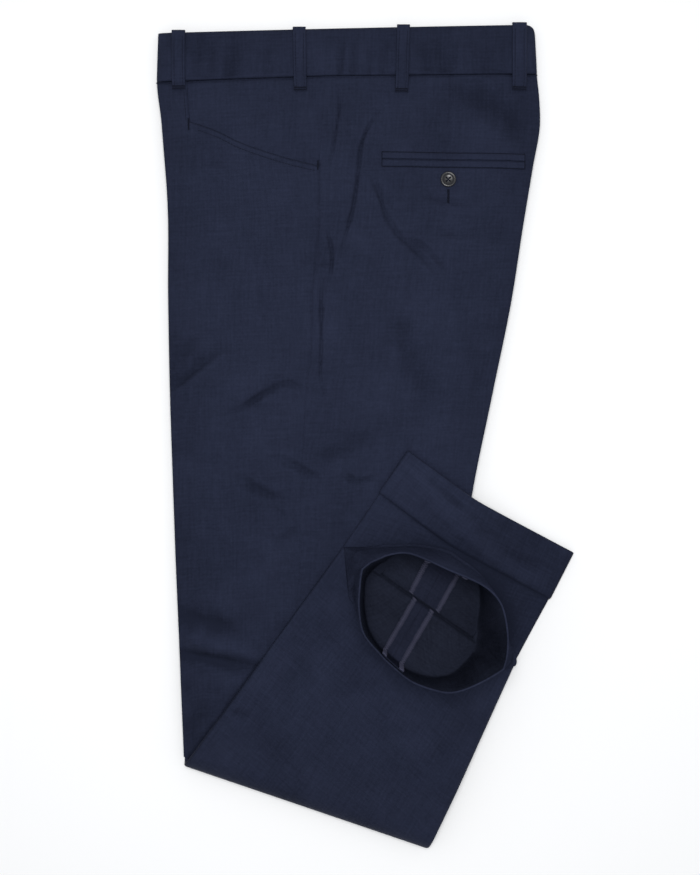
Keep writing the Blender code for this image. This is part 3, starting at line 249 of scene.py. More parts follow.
# soft troughs and ridges: points, width on the left and on the right of the run, height (a trough is
# negative), height of the ridges beside it
bodyFolds = [
    (((-25, 346), (-26, 316), (-29, 295), (-32, 276), (-37, 260)), 1.3, 1.3, -0.85, 0.15),
    (((20, 324), (5, 305), (-2, 291), (-5, 280), (-7, 260), (-9, 242), (-13, 220), (-18, 201), (-28, 166)),
     1.6, 1.4, -1.15, 0.2),
    (((12, 310), (-2, 288), (-7, 263), (-13, 222), (-20, 198)), 9, 4.5, -0.3, 0.1),
    (((-38, 203), (-35, 191), (-33, 181), (-33, 168), (-35, 152)), 1.4, 1.4, -1.2, 0.15),
    (((-42, 158), (-43, 140), (-43, 116), (-43, 84), (-43, 52), (-39, 38)), 1.5, 1.6, -1.1, 0.15),
    (((-46, 168), (-40, 167), (-33, 166)), 2.5, 3, -0.6, 0.2),
    (((1, 257), (10, 242), (17, 221), (25, 204), (37, 189), (50, 179), (72, 152)), 3.0, 1.7, -1.2, 0.25),
    (((34, 194), (54, 186), (66, 175), (82, 157)), 2.2, 2.2, -1.2, 0.3),
    (((4, 252), (14, 238), (26, 224), (36, 206)), 4.0, 5.0, -0.5, 0.2),
    (((67, 198), (91, 196), (118, 197)), 5, 3.2, -0.8, 0.3),
    (((37, 132), (40, 95), (51, 63), (68, 47), (82, 39)), 12, 14, -1.2, 0.3),
    (((-210, 28), (-188, 46), (-173, 58), (-158, 70), (-146, 79), (-130, 91)), 8, 2.4, -1.8, 0.3),
    (((-189, 71), (-176, 84), (-161, 97)), 6, 7, -1.0, 0.3),
    (((-139, 22), (-126, 26), (-114, 32), (-96, 44), (-77, 52), (-57, 46)), 2.3, 3.8, -1.55, 0.2),
    (((-118, 22), (-104, 29), (-93, 31)), 2.4, 4, -0.4, 0.2),
    (((-129, -36), (-112, -46), (-97, -54), (-73, -62)), 3.5, 6, -1.2, 0.3),
    (((-95, -19), (-80, -22), (-66, -28), (-52, -37), (-42, -43)), 2.6, 5, -1.2, 0.4),
    (((-53, -23), (-38, -18), (-24, -12), (-6, -4), (13, 5)), 8, 7, -1.2, 0.4),
    (((-22, -34), (-15, -40), (-7, -43), (2, -41), (12, -38)), 2.2, 3.6, -1.2, 0.4),
    (((-86, -100), (-76, -95), (-64, -92)), 3, 5, -0.9, 0.3),
    (((-91, -68), (-83, -74), (-76, -79)), 4, 5, -0.7, 0.2),
    (((72, 344), (101, 334), (135, 315), (159, 293)), 13, 14, -1.8, 0.4),
    (((54, 234), (78, 229), (103, 226)), 3, 4, -0.8, 0.4),
    (((-204, -204), (-170, -211), (-140, -216), (-96, -225)), 4.5, 8, -2.3, 0.5),
    (((-190, -196), (-160, -200), (-128, -206), (-98, -216)), 6, 6, 1.9, 0.0),
    (((-206, -172), (-170, -175), (-144, -182), (-120, -197)), 10, 11, -1.5, 0.4),
    (((-176, -300), (-166, -276), (-150, -256)), 9, 8, -1.0, 0.3),
]
legFolds = [
    (((-131, -262), (-120, -267), (-110, -270)), 4, 6, -1.0, 0.4),
    (((-60, -318), (-34, -310), (-10, -300)), 11, 13, -0.15, 0.1),
    (((40, -330), (64, -314), (84, -290)), 13, 12, -0.8, 0.4),
    (((-96, -256), (-70, -232), (-48, -200), (-40, -170)), 9, 12, -0.5, 0.3),
    (((-40, -250), (-8, -238), (26, -244)), 10, 8, -0.4, 0.2),
    (((70, -238), (92, -262), (100, -292)), 8, 11, -0.5, 0.3),
]


# how folds wander in width, in place and in depth (height, size, seed), fade at their ends and raise ridges
foldLook = {
    "widthBumps": (0.35, 13.0, 17),
    "strayBumps": (0.18, 8.0, 29),
    "depthBumps": (0.4, 17.0, 23),
    "depth": 1.35,
    "fadeRun": 0.35,
    "fadeStart": 0.15,
    "ridgeAt": 2.1,
    "ridgeWide": 1.1,
    "ridgeShare": 0.5,
    "reach": 4.0,
    "pathPoints": 24,
}


# distance from a path, on which side of it, and how far along it
def besidePath(path, x, y):
    best = np.full(x.shape, 1e9)
    side = np.zeros(x.shape)
    share = np.zeros(x.shape)
    for k in range(len(path) - 1):
        run = path[k + 1] - path[k]
        size = np.linalg.norm(run)
        run = run / size
        held = np.clip(dotFrom(x, y, path[k], run), 0.0, size)
        gap = np.hypot(x - path[k][0] - run[0] * held, y - path[k][1] - run[1] * held)
        across = (x - path[k][0]) * -run[1] + (y - path[k][1]) * run[0]
        closer = gap < best
        best = np.where(closer, gap, best)
        side = np.where(closer, np.sign(across), side)
        share = np.where(closer, (k + held / size) / (len(path) - 1), share)
    return best, side, share


def foldHeight(folds, x, y):
    look = foldLook
    height = np.zeros(np.broadcast(x, y).shape)
    for points, wideLeft, wideRight, rise, shoulder in folds:
        path = throughPoints(points, look["pathPoints"])
        reach = look["reach"] * max(wideLeft, wideRight)
        low, high = path.min(axis=0) - reach, path.max(axis=0) + reach
        near = (x > low[0]) & (x < high[0]) & (y > low[1]) & (y < high[1])
        if not near.any():
            continue
        px, py = x[near], y[near]
        best, side, share = besidePath(path, px, py)
        wide = np.where(side > 0, wideLeft, wideRight) * (1.0 + bumps(px, py, look["widthBumps"]))
        best = np.abs(best + bumps(px, py, look["strayBumps"], wide))
        start = smooth(share / look["fadeRun"] + look["fadeStart"])
        end = smooth((1.0 - share) / look["fadeRun"] + look["fadeStart"])
        trough = trench(best, wide)
        ridge = trench(best - look["ridgeAt"] * wide, look["ridgeWide"] * wide)
        depth = look["depth"] + bumps(px, py, look["depthBumps"])
        height[near] += start * end * depth * (rise * trough + look["ridgeShare"] * shoulder * ridge)
    return height


# 0 at the knee fold, 1 where the pile has its full height
def kneeRise(x, y):
    return smooth(fromKnee(x, y) / pile["foldReach"])


def thighLevel(x, y):
    return mix(pile["thighFold"], pile["thighTop"], kneeRise(x, y))


def bodyTop(x, y):
    return np.minimum(curve(waistHeights, y, 1), thighLevel(x, y))


def bodyMiddle(x, y):
    return np.minimum(curve(waistHeights, y, 2), mix(pile["middleFold"], pile["middle"], kneeRise(x, y)))


# how the pile's edges curl under: a quick curve and a slow one
roll = {
    "curl": 4.5,
    "curlLevel": 0.42,
    "front": 22.0,
    "back": 30.0,
    "frontSlow": 1.9,
    "backSlow": 1.7,
    "slow": 0.5,
}


def edgeLevel(x, y):
    left = x - curve(frontCrease, y)
    right = curve(seatEdge, y) - x
    tight = np.minimum(bulge(left / roll["front"]), bulge(right / roll["back"]))
    wide = np.minimum(
        smooth(left / (roll["frontSlow"] * roll["front"])), smooth(right / (roll["backSlow"] * roll["back"]))
    )
    return mix(roll["curlLevel"], 1.0, mix(tight, wide, roll["slow"]))


# soft swells of the cloth: height, size, seed
swells = ((0.55, 46.0, 3), (0.22, 21.0, 5), (0.07, 9.0, 8))
# faint wear creases: direction in degrees, length, width, seed, height
creases = ((38, 34.0, 9.0, 11, 0.30), (-47, 30.0, 8.0, 12, 0.24), (80, 40.0, 10.0, 13, 0.16), (12, 26.0, 6.5, 14, 0.15))
creasePatch = 52.0


def undulation(x, y):
    height = sum(bumps(x, y, swell) for swell in swells)
    for degrees, long, short, seed, deep in creases:
        c, s = math.cos(math.radians(degrees)), math.sin(math.radians(degrees))
        wave = ripple((x * c + y * s) * short / long, y * c - x * s, short, seed)
        here = smooth(0.35 + 1.3 * ripple(x, y, creasePatch, seed + 20))
        height = height - deep * here * (1.1 - np.sqrt(wave ** 2 + 0.01)) ** 3
    return height


# painted shade: colour darker in the cloth's fold troughs and lighter on their ridges, darker towards its curled edges,
# and painted shadow where one part shades another: how deep, then how wide
paintedShades = {
    "trough": 0.14,
    "cuff": 0.28,
    "front": (0.11, 62.0),
    "seat": (0.11, 44.0),
    "leg": (0.10, 26.0),
    "knee": (0.42, 3.0),
    "kneeEnd": (-205.0, 20.0),
    "turnUpEnd": (0.26, 70.0, 90.0),
    "seam": 0.42,
    "contact": (0.40, 2.6),
    "contactRun": (60.0, 14.0),
    "ring": (0.60, 15.0),
    "ringRun": (2.0, 36.0, 206.0, 40.0),
    "ringFoot": (0.42, 1.8),
    "slit": (0.26, 1.0),
    "slitRun": (40.0, 8.0, 158.0, 8.0),
    "slitHeight": 6.0,
    "ringSide": 0.24,
    "ringSideFrom": (150.0, 12.0, 3.0, 12.0),
    "earEnd": (36.0, 10.0),
}
# painted shade of folds, colour alone with no relief
paintedShadeFolds = [
    (((-206, -172), (-170, -176), (-144, -183), (-122, -197)), 9, 10, -1.1, 0.0),
    (((-204, -206), (-170, -213), (-140, -218), (-96, -226)), 4, 9, -1.1, 0.0),
    (((-206, 42), (-186, 60), (-168, 74), (-138, 94)), 13, 3, -0.8, 0.0),
    (((-200, -236), (-180, -240), (-160, -246)), 9, 9, -0.6, 0.0),
    (((-126, 27), (-112, 34), (-96, 46), (-80, 51)), 3, 4, -0.9, 0.0),
    (((-112, -48), (-97, -55), (-80, -60)), 4, 4, -0.7, 0.0),
    (((120, 330), (150, 300), (160, 270)), 14, 14, -0.8, 0.0),
]


# painted shade, darkest at an edge and fading out over the given width
def edgePaintedShade(away, deepWide):
    return -deepWide[0] * (1.0 - smooth(away / deepWide[1]))


# rises after first over its span, falls to last over its span
def between(s, first, firstSpan, last, lastSpan):
    return smooth((s - first) / firstSpan) * smooth((last - s) / lastSpan)


# painted shadow beside the left edge of the folded-up legs, only near the knee
def kneePaintedShadow(away, y):
    end, span = paintedShades["kneeEnd"]
    return edgePaintedShade(away, paintedShades["knee"]) * smooth((end - y) / span)


# painted shade of the thigh: darker in fold troughs, lighter on their ridges, darker towards its curled edges, with
# painted shadows beside the folded-up legs and past the turn-up's end
def thighPaintedShade(x, y, z):
    folds = paintedShades["trough"] * (np.minimum(foldHeight(bodyFolds, x, y), 1.0) + foldHeight(paintedShadeFolds, x, y))
    left, right = x - curve(frontCrease, y), curve(seatEdge, y) - x
    knee = kneePaintedShadow(np.abs(pastLegEdge(x, y) + 0.8), y)
    deep, wide = paintedShades["contact"]
    past, along = pastTurnUp(x, y)
    gap = np.hypot(np.maximum(past, 0.0), np.maximum(-along, 0.0))
    reach, span = paintedShades["contactRun"]
    contact = -deep * np.exp(-gap / wide) * smooth((past + reach) / span)
    return folds + edgePaintedShade(left, paintedShades["front"]) + edgePaintedShade(right, paintedShades["seat"]) + knee + contact


# painted shade of the right leg's upper face: darker in fold troughs, beside its left edge and towards the knee fold
def legPaintedShade(x, y, z):
    folds = paintedShades["trough"] * np.minimum(foldHeight(legFolds, x, y), 0.5)
    paintedShade = folds + kneePaintedShadow(pastLegEdge(x, y), y) + edgePaintedShade(fromKnee(x, y), paintedShades["leg"])
    return paintedShade * (z > 9.0)


# how far past the end of the left leg, and how far along that end
def pastTurnUp(x, y):
    left, right, drop = legRows[3][0:2], legRows[3][2:4], legRows[3][4]
    size = np.linalg.norm(right - left)
    along = (right - left) / size
    run = dotFrom(x, y, left, along)
    return dotFrom(x, y, left, (-along[1], along[0])) + drop * sagShare(run / size), run


# how far past the foot of the opened ring, on the side of the left leg
def pastRing(x, y):
    foot = [(r[3], r[4]) for r in openingRows if r[4] > 0]
    s = alongOpening(x, y)
    return pastOpening(x, y) - line(foot, s), s


# painted shade of the left leg's end: darker in the turn-up's fold troughs, lighter on their ridges, darker towards its
# far end, with a painted shadow beside the foot of the opened ring
def cuffPaintedShade(x, y, z):
    folds = paintedShades["cuff"] * np.minimum(foldHeight(cuffFolds, x, y), 0.6)
    deep, start, span = paintedShades["turnUpEnd"]
    end = -deep * smooth((pastTurnUp(x, y)[1] - start) / span)
    away, s = pastRing(x, y)
    deep, wide = paintedShades["ring"]
    ring = -deep * np.exp(-np.maximum(away, 0.0) / wide) * between(s, *paintedShades["ringRun"])
    return folds + end + ring


# painted shade of the opened end: at the foot of its wall, in the slit, on the walls towards its right ear and in the
# ear's creases
def openingPaintedShade(x, y, z):
    away, s = pastRing(x, y)
    p = pastOpening(x, y)
    above = z - openingBed(s, p)
    deep, wide = paintedShades["ringFoot"]
    foot = -deep * trench(above, wide) * (away > -2.0)
    deep, wide = paintedShades["slit"]
    slit = -deep * trench(p, wide) * between(s, *paintedShades["slitRun"]) * (above < paintedShades["slitHeight"])
    start, span, low, lowSpan = paintedShades["ringSideFrom"]
    wall = -paintedShades["ringSide"] * smooth((s - start) / span) * smooth((above - low) / lowSpan)
    end, span = paintedShades["earEnd"]
    crease = paintedShades["trough"] * foldHeight(earCreasePaintedShade, x, y) * smooth((end - s) / span)
    return foot + slit + wall + crease


def bodySurface(x, y):
    low = bodyMiddle(x, y)
    level = edgeLevel(x, y)
    relief = foldHeight(bodyFolds, x, y) + undulation(x, y)
    return mix(low, bodyTop(x, y), level) + relief * smooth((level - 0.5) / 0.3)


# how far the legs sink to the table beyond the seat
def drape(x, y):
    sunk = smooth((pastThigh(x, y) - pile["drapeStart"]) / pile["drapeSpan"])
    return sunk * smooth(fromKnee(x, y) / pile["drapeKnee"])


def legBed(x, y):
    return (thighLevel(x, y) + pile["legLift"]) * (1.0 - drape(x, y))


def lowerLegTop(x, y):
    return legBed(x, y) + mix(pile["lowerLegFold"], pile["lowerLeg"], kneeRise(x, y))


def foldTop(distance):
    whole = pile["thighTop"] + pile["legLift"] + pile["lowerLeg"] + pile["upperLeg"]
    half = pile["foldTop"] / 2
    rise = (whole - pile["foldTop"]) * smooth(distance / pile["topReach"])
    return half + half * bulge(distance / pile["foldRound"]) + rise


def upperLegTop(x, y):
    return foldTop(fromKnee(x, y)) - (thighLevel(x, y) + pile["legLift"]) * drape(x, y)


def upperLegEnd(x, y):
    ramp = smooth((-pastOpening(x, y) - pile["endStart"]) / pile["endSlope"])
    s = alongOpening(x, y)
    first, span = pile["endSides"]
    inside = smooth((np.minimum(s, openWidth - s) - first) / span)
    return mix(lowerLegTop(x, y) + pile["endGap"], upperLegTop(x, y), mix(1.0, ramp, inside))


def bodyRow(row):
    ys = readRows(bodyRows, row)
    edges = zip((frontCrease, sideSeam, seatEdge), np.moveaxis(ys, -1, 0))
    return [np.stack((curve(edge, y), y), axis=-1) for edge, y in edges]


# share of the front's width, height of the pocket's mouth above its row
pocketMouth = (
    (0.0, 8.0), (0.18, 12.6), (0.23, 12.2), (0.284, 11.3), (0.373, 9.2), (0.463, 5.3), (0.63, 1.6), (0.815, -0.2),
    (1.0, 0.0),
)
pocketShare = 0.18
mouthReach = 1.5  # in rows


def frontPoint(row, inset, share):
    row, inset, share = np.broadcast_arrays(row, inset, share)
    front, seam, _ = bodyRow(row)
    at = share + inset / np.linalg.norm(seam - front, axis=-1)
    x, y = np.moveaxis(mix(front, seam, at[..., None]), -1, 0)
    nearness = np.maximum(0.0, 1.0 - np.abs(row - mouthRow) / mouthReach)
    return x, y + curve(pocketMouth, at) * nearness


def backPoint(row, inset, share):
    row, inset, share = np.broadcast_arrays(row, inset, share)
    _, seam, seat = bodyRow(row)
    at = share + inset / np.linalg.norm(seam - seat, axis=-1)
    return np.moveaxis(mix(seat, seam, at[..., None]), -1, 0)


# side is -1 on the front and 1 on the back
def bodyPoint(row, side, inset, share):
    fx, fy = frontPoint(row, inset, share)
    bx, by = backPoint(row, inset, share)
    return np.where(side < 0, fx, bx), np.where(side < 0, fy, by)


# the left leg's end sags between its corners: share of the width where it sags most, softness, lift
sag = {"most": 0.42, "soft": 0.015, "lift": 0.06}


def sagShare(at):
    most = sag["most"]
    off = np.where(at < most, (most - at) / most, (at - most) / (1.0 - most))
    return 1.0 - np.sqrt(off ** 2 + sag["soft"]) + sag["lift"]


def legPoint(row, side, inset, share):
    row, side, inset, share = np.broadcast_arrays(row, side, inset, share)
    read = readRows(legRows, row)
    left, right, drop = read[..., 0:2], read[..., 2:4], read[..., 4]
    seamAt = line(legSeam, row)
    width = np.linalg.norm(right - left, axis=-1)
    at = np.where(side < 0, seamAt * share + inset / width, 1.0 - (1.0 - seamAt) * share - inset / width)
    point = mix(left, right, at[..., None]) - kneeInward * (drop * sagShare(at))[..., None]
    return point[..., 0], point[..., 1]


def openPoint(s, p):
    x = openLeft[0] + openAlong[0] * s + openOutward[0] * p
    y = openLeft[1] + openAlong[1] * s + openOutward[1] * p
    return x, y


# from the drafting origin of these sizes to the frame's
tableShift = np.array((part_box("waistband_left")[0].x / mm + 203.3, -1.28, 0.0))


def toFrame(points):
    return (np.asarray(points, float) + tableShift) * mm


def addObject(name, data):
    made = bpy.data.objects.new(name, data)
    bpy.context.scene.collection.objects.link(made)
    return made


# the mesh that an object's modifiers make; the objects themselves go
def finishedMesh(carrier, *helpers):
    graph = bpy.context.evaluated_depsgraph_get()
    made = bpy.data.meshes.new_from_object(carrier.evaluated_get(graph))
    for used in (carrier, *helpers):
        bpy.data.objects.remove(used, do_unlink=True)
    return made


def addMesh(name, points, faces, finish, uvs=None, sharp=50, lining=None, lined=None, paintedShade=None):
    mesh = bpy.data.meshes.new(name)
    mesh.from_pydata(toFrame(points).tolist(), [], faces)
    if uvs is not None:
        layer = mesh.uv_layers.new(name="cloth")
        layer.data.foreach_set("uv", np.asarray(uvs, np.float32).ravel())
    # painted shade: colour darker where the cloth lies in shade, kept as a point attribute
    if paintedShade is not None:
        mesh.attributes.new("paintedShade", "FLOAT", "POINT").data.foreach_set("value", np.asarray(paintedShade, np.float32))
    mesh.materials.append(finish)
    if lining is not None:
        mesh.materials.append(lining)
        mesh.polygons.foreach_set("material_index", np.asarray(lined, np.int32))
    mesh.shade_smooth()
    mesh.set_sharp_from_angle(angle=math.radians(sharp))
    return addObject(name, mesh)


def wrapped(grid, closed):
    return np.concatenate((grid, grid[:, :1]), axis=1) if closed else grid


def cornersOf(grid):
    return grid[:-1, :-1], grid[:-1, 1:], grid[1:, 1:], grid[1:, :-1]


# thin closed shell between two grids of points, with the cloth's own lengths as its UV map and painted shade on its
# points
def shell(name, outer, inner, finish, keep=None, closed=False, sharp=50, lining=None, paintedShadeOf=None, rowPaintedShade=None):
    rows, columns = outer.shape[:2]
    spans = columns if closed else columns - 1
    if keep is None:
        keep = np.ones((rows - 1, spans), bool)
    whole = wrapped(outer, closed)
    across = np.linalg.norm(np.diff(whole, axis=1), axis=2)
    down = np.linalg.norm(np.diff(whole, axis=0), axis=2)
    u = np.concatenate((np.zeros((rows, 1)), np.cumsum(across, axis=1)), axis=1)
    u = u - u[:, spans // 2 : spans // 2 + 1]
    v = np.concatenate((np.zeros((1, spans + 1)), np.cumsum(down, axis=0)), axis=0)
    uv = np.stack((u, v), axis=-1) * mm
    index = wrapped(np.arange(rows * columns).reshape(rows, columns), closed)
    quads = np.stack([c[keep] for c in cornersOf(index)], axis=1)
    quadUvs = np.stack([c[keep] for c in cornersOf(uv)], axis=1)
    total = rows * columns
    starts = quads.ravel()
    ends = np.roll(quads, -1, axis=1).ravel()
    endUvs = np.roll(quadUvs, -1, axis=1).reshape(-1, 2)
    startUvs = quadUvs.reshape(-1, 2)
    present = set((starts.astype(np.int64) * total + ends).tolist())
    single = np.array([(e * total + s) not in present for s, e in zip(starts.tolist(), ends.tolist())])
    s, e = starts[single], ends[single]
    rims = np.stack((e, s, s + total, e + total), axis=1)
    su, eu = startUvs[single], endUvs[single]
    rimUvs = np.stack((eu, su, su, eu), axis=1)
    faces = np.concatenate((quads, quads[:, ::-1] + total, rims))
    uvs = np.concatenate((quadUvs, quadUvs[:, ::-1], rimUvs))
    points = np.concatenate((outer.reshape(-1, 3), inner.reshape(-1, 3)))
    used, faces = np.unique(faces, return_inverse=True)
    points, faces = points[used], faces.reshape(-1, 4)
    a, b, c, d = (points[faces[:, k]] for k in range(4))
    volume = np.einsum("ij,ij->i", a, np.cross(b, c)).sum() + np.einsum("ij,ij->i", a, np.cross(c, d)).sum()
    if volume < 0:
        faces, uvs = faces[:, ::-1], uvs[:, ::-1]
    lined = np.arange(len(faces)) >= len(quads)
    # painted shade of every point, with any painted shade given by row added on top
    paintedShade = None if paintedShadeOf is None else paintedShadeOf(*points.T)
    if rowPaintedShade is not None:
        paintedShade = paintedShade + np.tile(np.broadcast_to(rowPaintedShade, outer.shape[:2]).ravel(), 2)[used]
    return addMesh(name, points, faces.tolist(), finish, uvs, sharp, lining, lined, paintedShade)


def normalsOf(grid, closed=False):
    if closed:
        across = np.roll(grid, -1, axis=1) - np.roll(grid, 1, axis=1)
    else:
        across = np.gradient(grid, axis=1)
    normal = np.cross(across, np.gradient(grid, axis=0))
    return normal / np.maximum(np.linalg.norm(normal, axis=2, keepdims=True), 1e-9)


def turned(normals, row, column, direction):
    return -normals if normals[row, column] @ np.array(direction, float) < 0 else normals


# columns first to last of two grids, drawn in a little at the seams
def cutOut(outer, inner, first, last, seams=(True, True)):
    columns = [c % outer.shape[1] for c in range(first, last + 1)]
    cut = [grid[:, columns].copy() for grid in (outer, inner)]
    for grid in cut:
        for end, beside, seam in ((0, 1, seams[0]), (-1, -2, seams[1])):
            if seam:
                run = grid[:, beside] - grid[:, end]
                size = np.linalg.norm(run, axis=1, keepdims=True)
                grid[:, end] += run / size * (cloth["seamGap"] / 2)
    return cut


def gridArea(grid, closed=False):
    a, b, c, d = cornersOf(wrapped(grid, closed))
    return 0.5 * np.linalg.norm(np.cross(c - a, d - b), axis=2).sum() * mm * mm


finishes = {
    "navy": (0.0131, 0.0158, 0.0300, 1.0),
    # painted lighter than the flat navy, as painted light on the standing walls
    "navyWallPaintedLighter": (0.0187, 0.0222, 0.0408, 1.0),
    "navyInside": (0.0152, 0.0180, 0.0306, 1.0),
    "serging": (0.060, 0.062, 0.102, 1.0),
    "button": (0.010, 0.010, 0.012, 1.0),
    "thread": (0.0085, 0.0100, 0.0190, 1.0),
    "allowance": (0.0150, 0.0175, 0.0320, 1.0),
}


# two makers for one tree: of a node fed with sockets or values, and of a sum
def nodeMakers(tree):
    def add(kind, feed=None, **settings):
        node = tree.nodes.new(kind)
        for key, value in settings.items():
            setattr(node, key, value)
        for socket, value in (feed or {}).items():
            if isinstance(value, bpy.types.NodeSocket):
                tree.links.new(value, node.inputs[socket])
            else:
                node.inputs[socket].default_value = value
        return node

    def maths(operation, *values):
        return add("ShaderNodeMath", dict(enumerate(values)), operation=operation).outputs[0]

    return add, maths


# a material whose colour runs from a dark to a light share of one colour
def tonedMaterial(name, colour, rough, gloss, dark, light):
    made = bpy.data.materials.new(name)
    made.use_nodes = True
    made.diffuse_color = colour
    shader = made.node_tree.nodes["Principled BSDF"].inputs
    shader["Roughness"].default_value = rough
    shader["Specular IOR Level"].default_value = gloss
    add, maths = nodeMakers(made.node_tree)
    ends = [tuple(min(1.0, share * c) for c in colour[:3]) + (1.0,) for share in (dark, light)]
    blend = add("ShaderNodeMix", {"A": ends[0], "B": ends[1]}, data_type="RGBA")
    made.node_tree.links.new(blend.outputs["Result"], shader["Base Color"])
    return made, shader, blend.inputs["Factor"], add, maths


# cotton twill: yarns up to the right at the weave's pitch, slubs along both yarns, worn and mottled colour, painted
# shade from each piece, nap
twill = {
    "wale": 0.00062,  # in metres
    "degrees": 58.0,
    "stretch": 2.2,
    "crossYarns": 0.35,
    "dark": 0.55,
    "light": 1.45,
    "yarns": 0.05,
    "mottle": (420.0, 3.0, 0.62),  # scale, detail, share of the colour
    "wear": (26.0, 5.0, 0.72),
    "patches": (9.0, 2.0, 0.22),
    "slubs": (520.0, 2.0, 0.55),
    "slubStretch": 0.06,
    "slubRelief": 1.4,
    "mottleRelief": 1.2,
    "bump": 0.4,
    "bumpDepth": 0.00010,  # in metres
    "gleam": (0.36, 0.45, 0.85, 1.0),
}


def twillMaterial(name, colour, rough=0.60, gloss=0.17):
    made, shader, factor, add, maths = tonedMaterial(name, colour, rough, gloss, twill["dark"], twill["light"])

    def noise(source, part, stretch=None):
        if stretch:
            source = add("ShaderNodeMapping", {"Vector": source, "Scale": stretch}).outputs["Vector"]
        scale, detail, _ = twill[part]
        grain = add("ShaderNodeTexNoise", {"Vector": source, "Scale": scale, "Detail": detail})
        return maths("SUBTRACT", grain.outputs["Fac"], 0.5)

    uv = add("ShaderNodeUVMap", uv_map="cloth").outputs["UV"]
    placing = {
        "Vector": uv,
        "Rotation": (0.0, 0.0, math.radians(twill["degrees"])),
        "Scale": (twill["wale"], twill["wale"] * twill["stretch"], 1.0),
    }
    weave = add("ShaderNodeMapping", placing, vector_type="TEXTURE").outputs["Vector"]
    parts = add("ShaderNodeSeparateXYZ", {"Vector": weave}).outputs
    across, along = (maths("SINE", maths("MULTIPLY", parts[axis], 2 * math.pi)) for axis in ("X", "Y"))
    yarns = maths("MULTIPLY_ADD", along, twill["crossYarns"], across)
    solid = add("ShaderNodeTexCoord").outputs["Object"]
    grains = [(part, noise(solid, part)) for part in ("mottle", "wear", "patches")]
    for stretch in ((1.0, twill["slubStretch"], 1.0), (twill["slubStretch"], 1.0, 1.0)):
        grains.append(("slubs", noise(uv, "slubs", stretch)))
    shade = maths("MULTIPLY_ADD", yarns, twill["yarns"], 0.5)
    for part, grain in grains:
        shade = maths("MULTIPLY_ADD", grain, twill[part][2], shade)
    # painted shade from each piece's attribute makes the colour darker where the cloth lies in shade
    paintedShade = add("ShaderNodeAttribute", attribute_name="paintedShade").outputs["Fac"]
    made.node_tree.links.new(maths("ADD", shade, paintedShade), factor)
    nap = maths("MULTIPLY_ADD", grains[0][1], twill["mottleRelief"], yarns)
    height = maths("MULTIPLY_ADD", grains[3][1], twill["slubRelief"], nap)
    bump = add("ShaderNodeBump", {"Height": height, "Strength": twill["bump"], "Distance": twill["bumpDepth"]})
    made.node_tree.links.new(bump.outputs["Normal"], shader["Normal"])
    shader["Specular Tint"].default_value = twill["gleam"]
    return made


def plainMaterial(name, colour, rough, scale, gloss):
    made, _, factor, add, _ = tonedMaterial(name, colour, rough, gloss, 0.75, 1.25)
    solid = add("ShaderNodeTexCoord").outputs["Object"]
    grain = add("ShaderNodeTexNoise", {"Vector": solid, "Scale": scale})
    made.node_tree.links.new(grain.outputs["Fac"], factor)
    return made


navy = twillMaterial("navy twill", finishes["navy"])
# painted light: the standing walls get a lighter navy than the flat cloth, standing in for light they do not receive
navyWallPaintedLighter = twillMaterial("navy twill standing up painted lighter", finishes["navyWallPaintedLighter"], rough=0.9, gloss=0.0)
navyInside = twillMaterial("navy twill wrong side", finishes["navyInside"], rough=0.9, gloss=0.0)
serging = plainMaterial("serged edge thread", finishes["serging"], 0.8, 900.0, gloss=0.1)
pressedOpen = twillMaterial("navy twill seam allowance", finishes["allowance"], rough=0.65, gloss=0.06)
thread = plainMaterial("navy sewing thread", finishes["thread"], 0.7, 900.0, gloss=0.05)
buttonFinish = plainMaterial("dark grey button", finishes["button"], 0.3, 260.0, gloss=0.55)
print("materials made")


def dress(piece, node, slotName, **sheetFacts):
    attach(piece, "root")
    if node:
        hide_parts(node)
    return piece


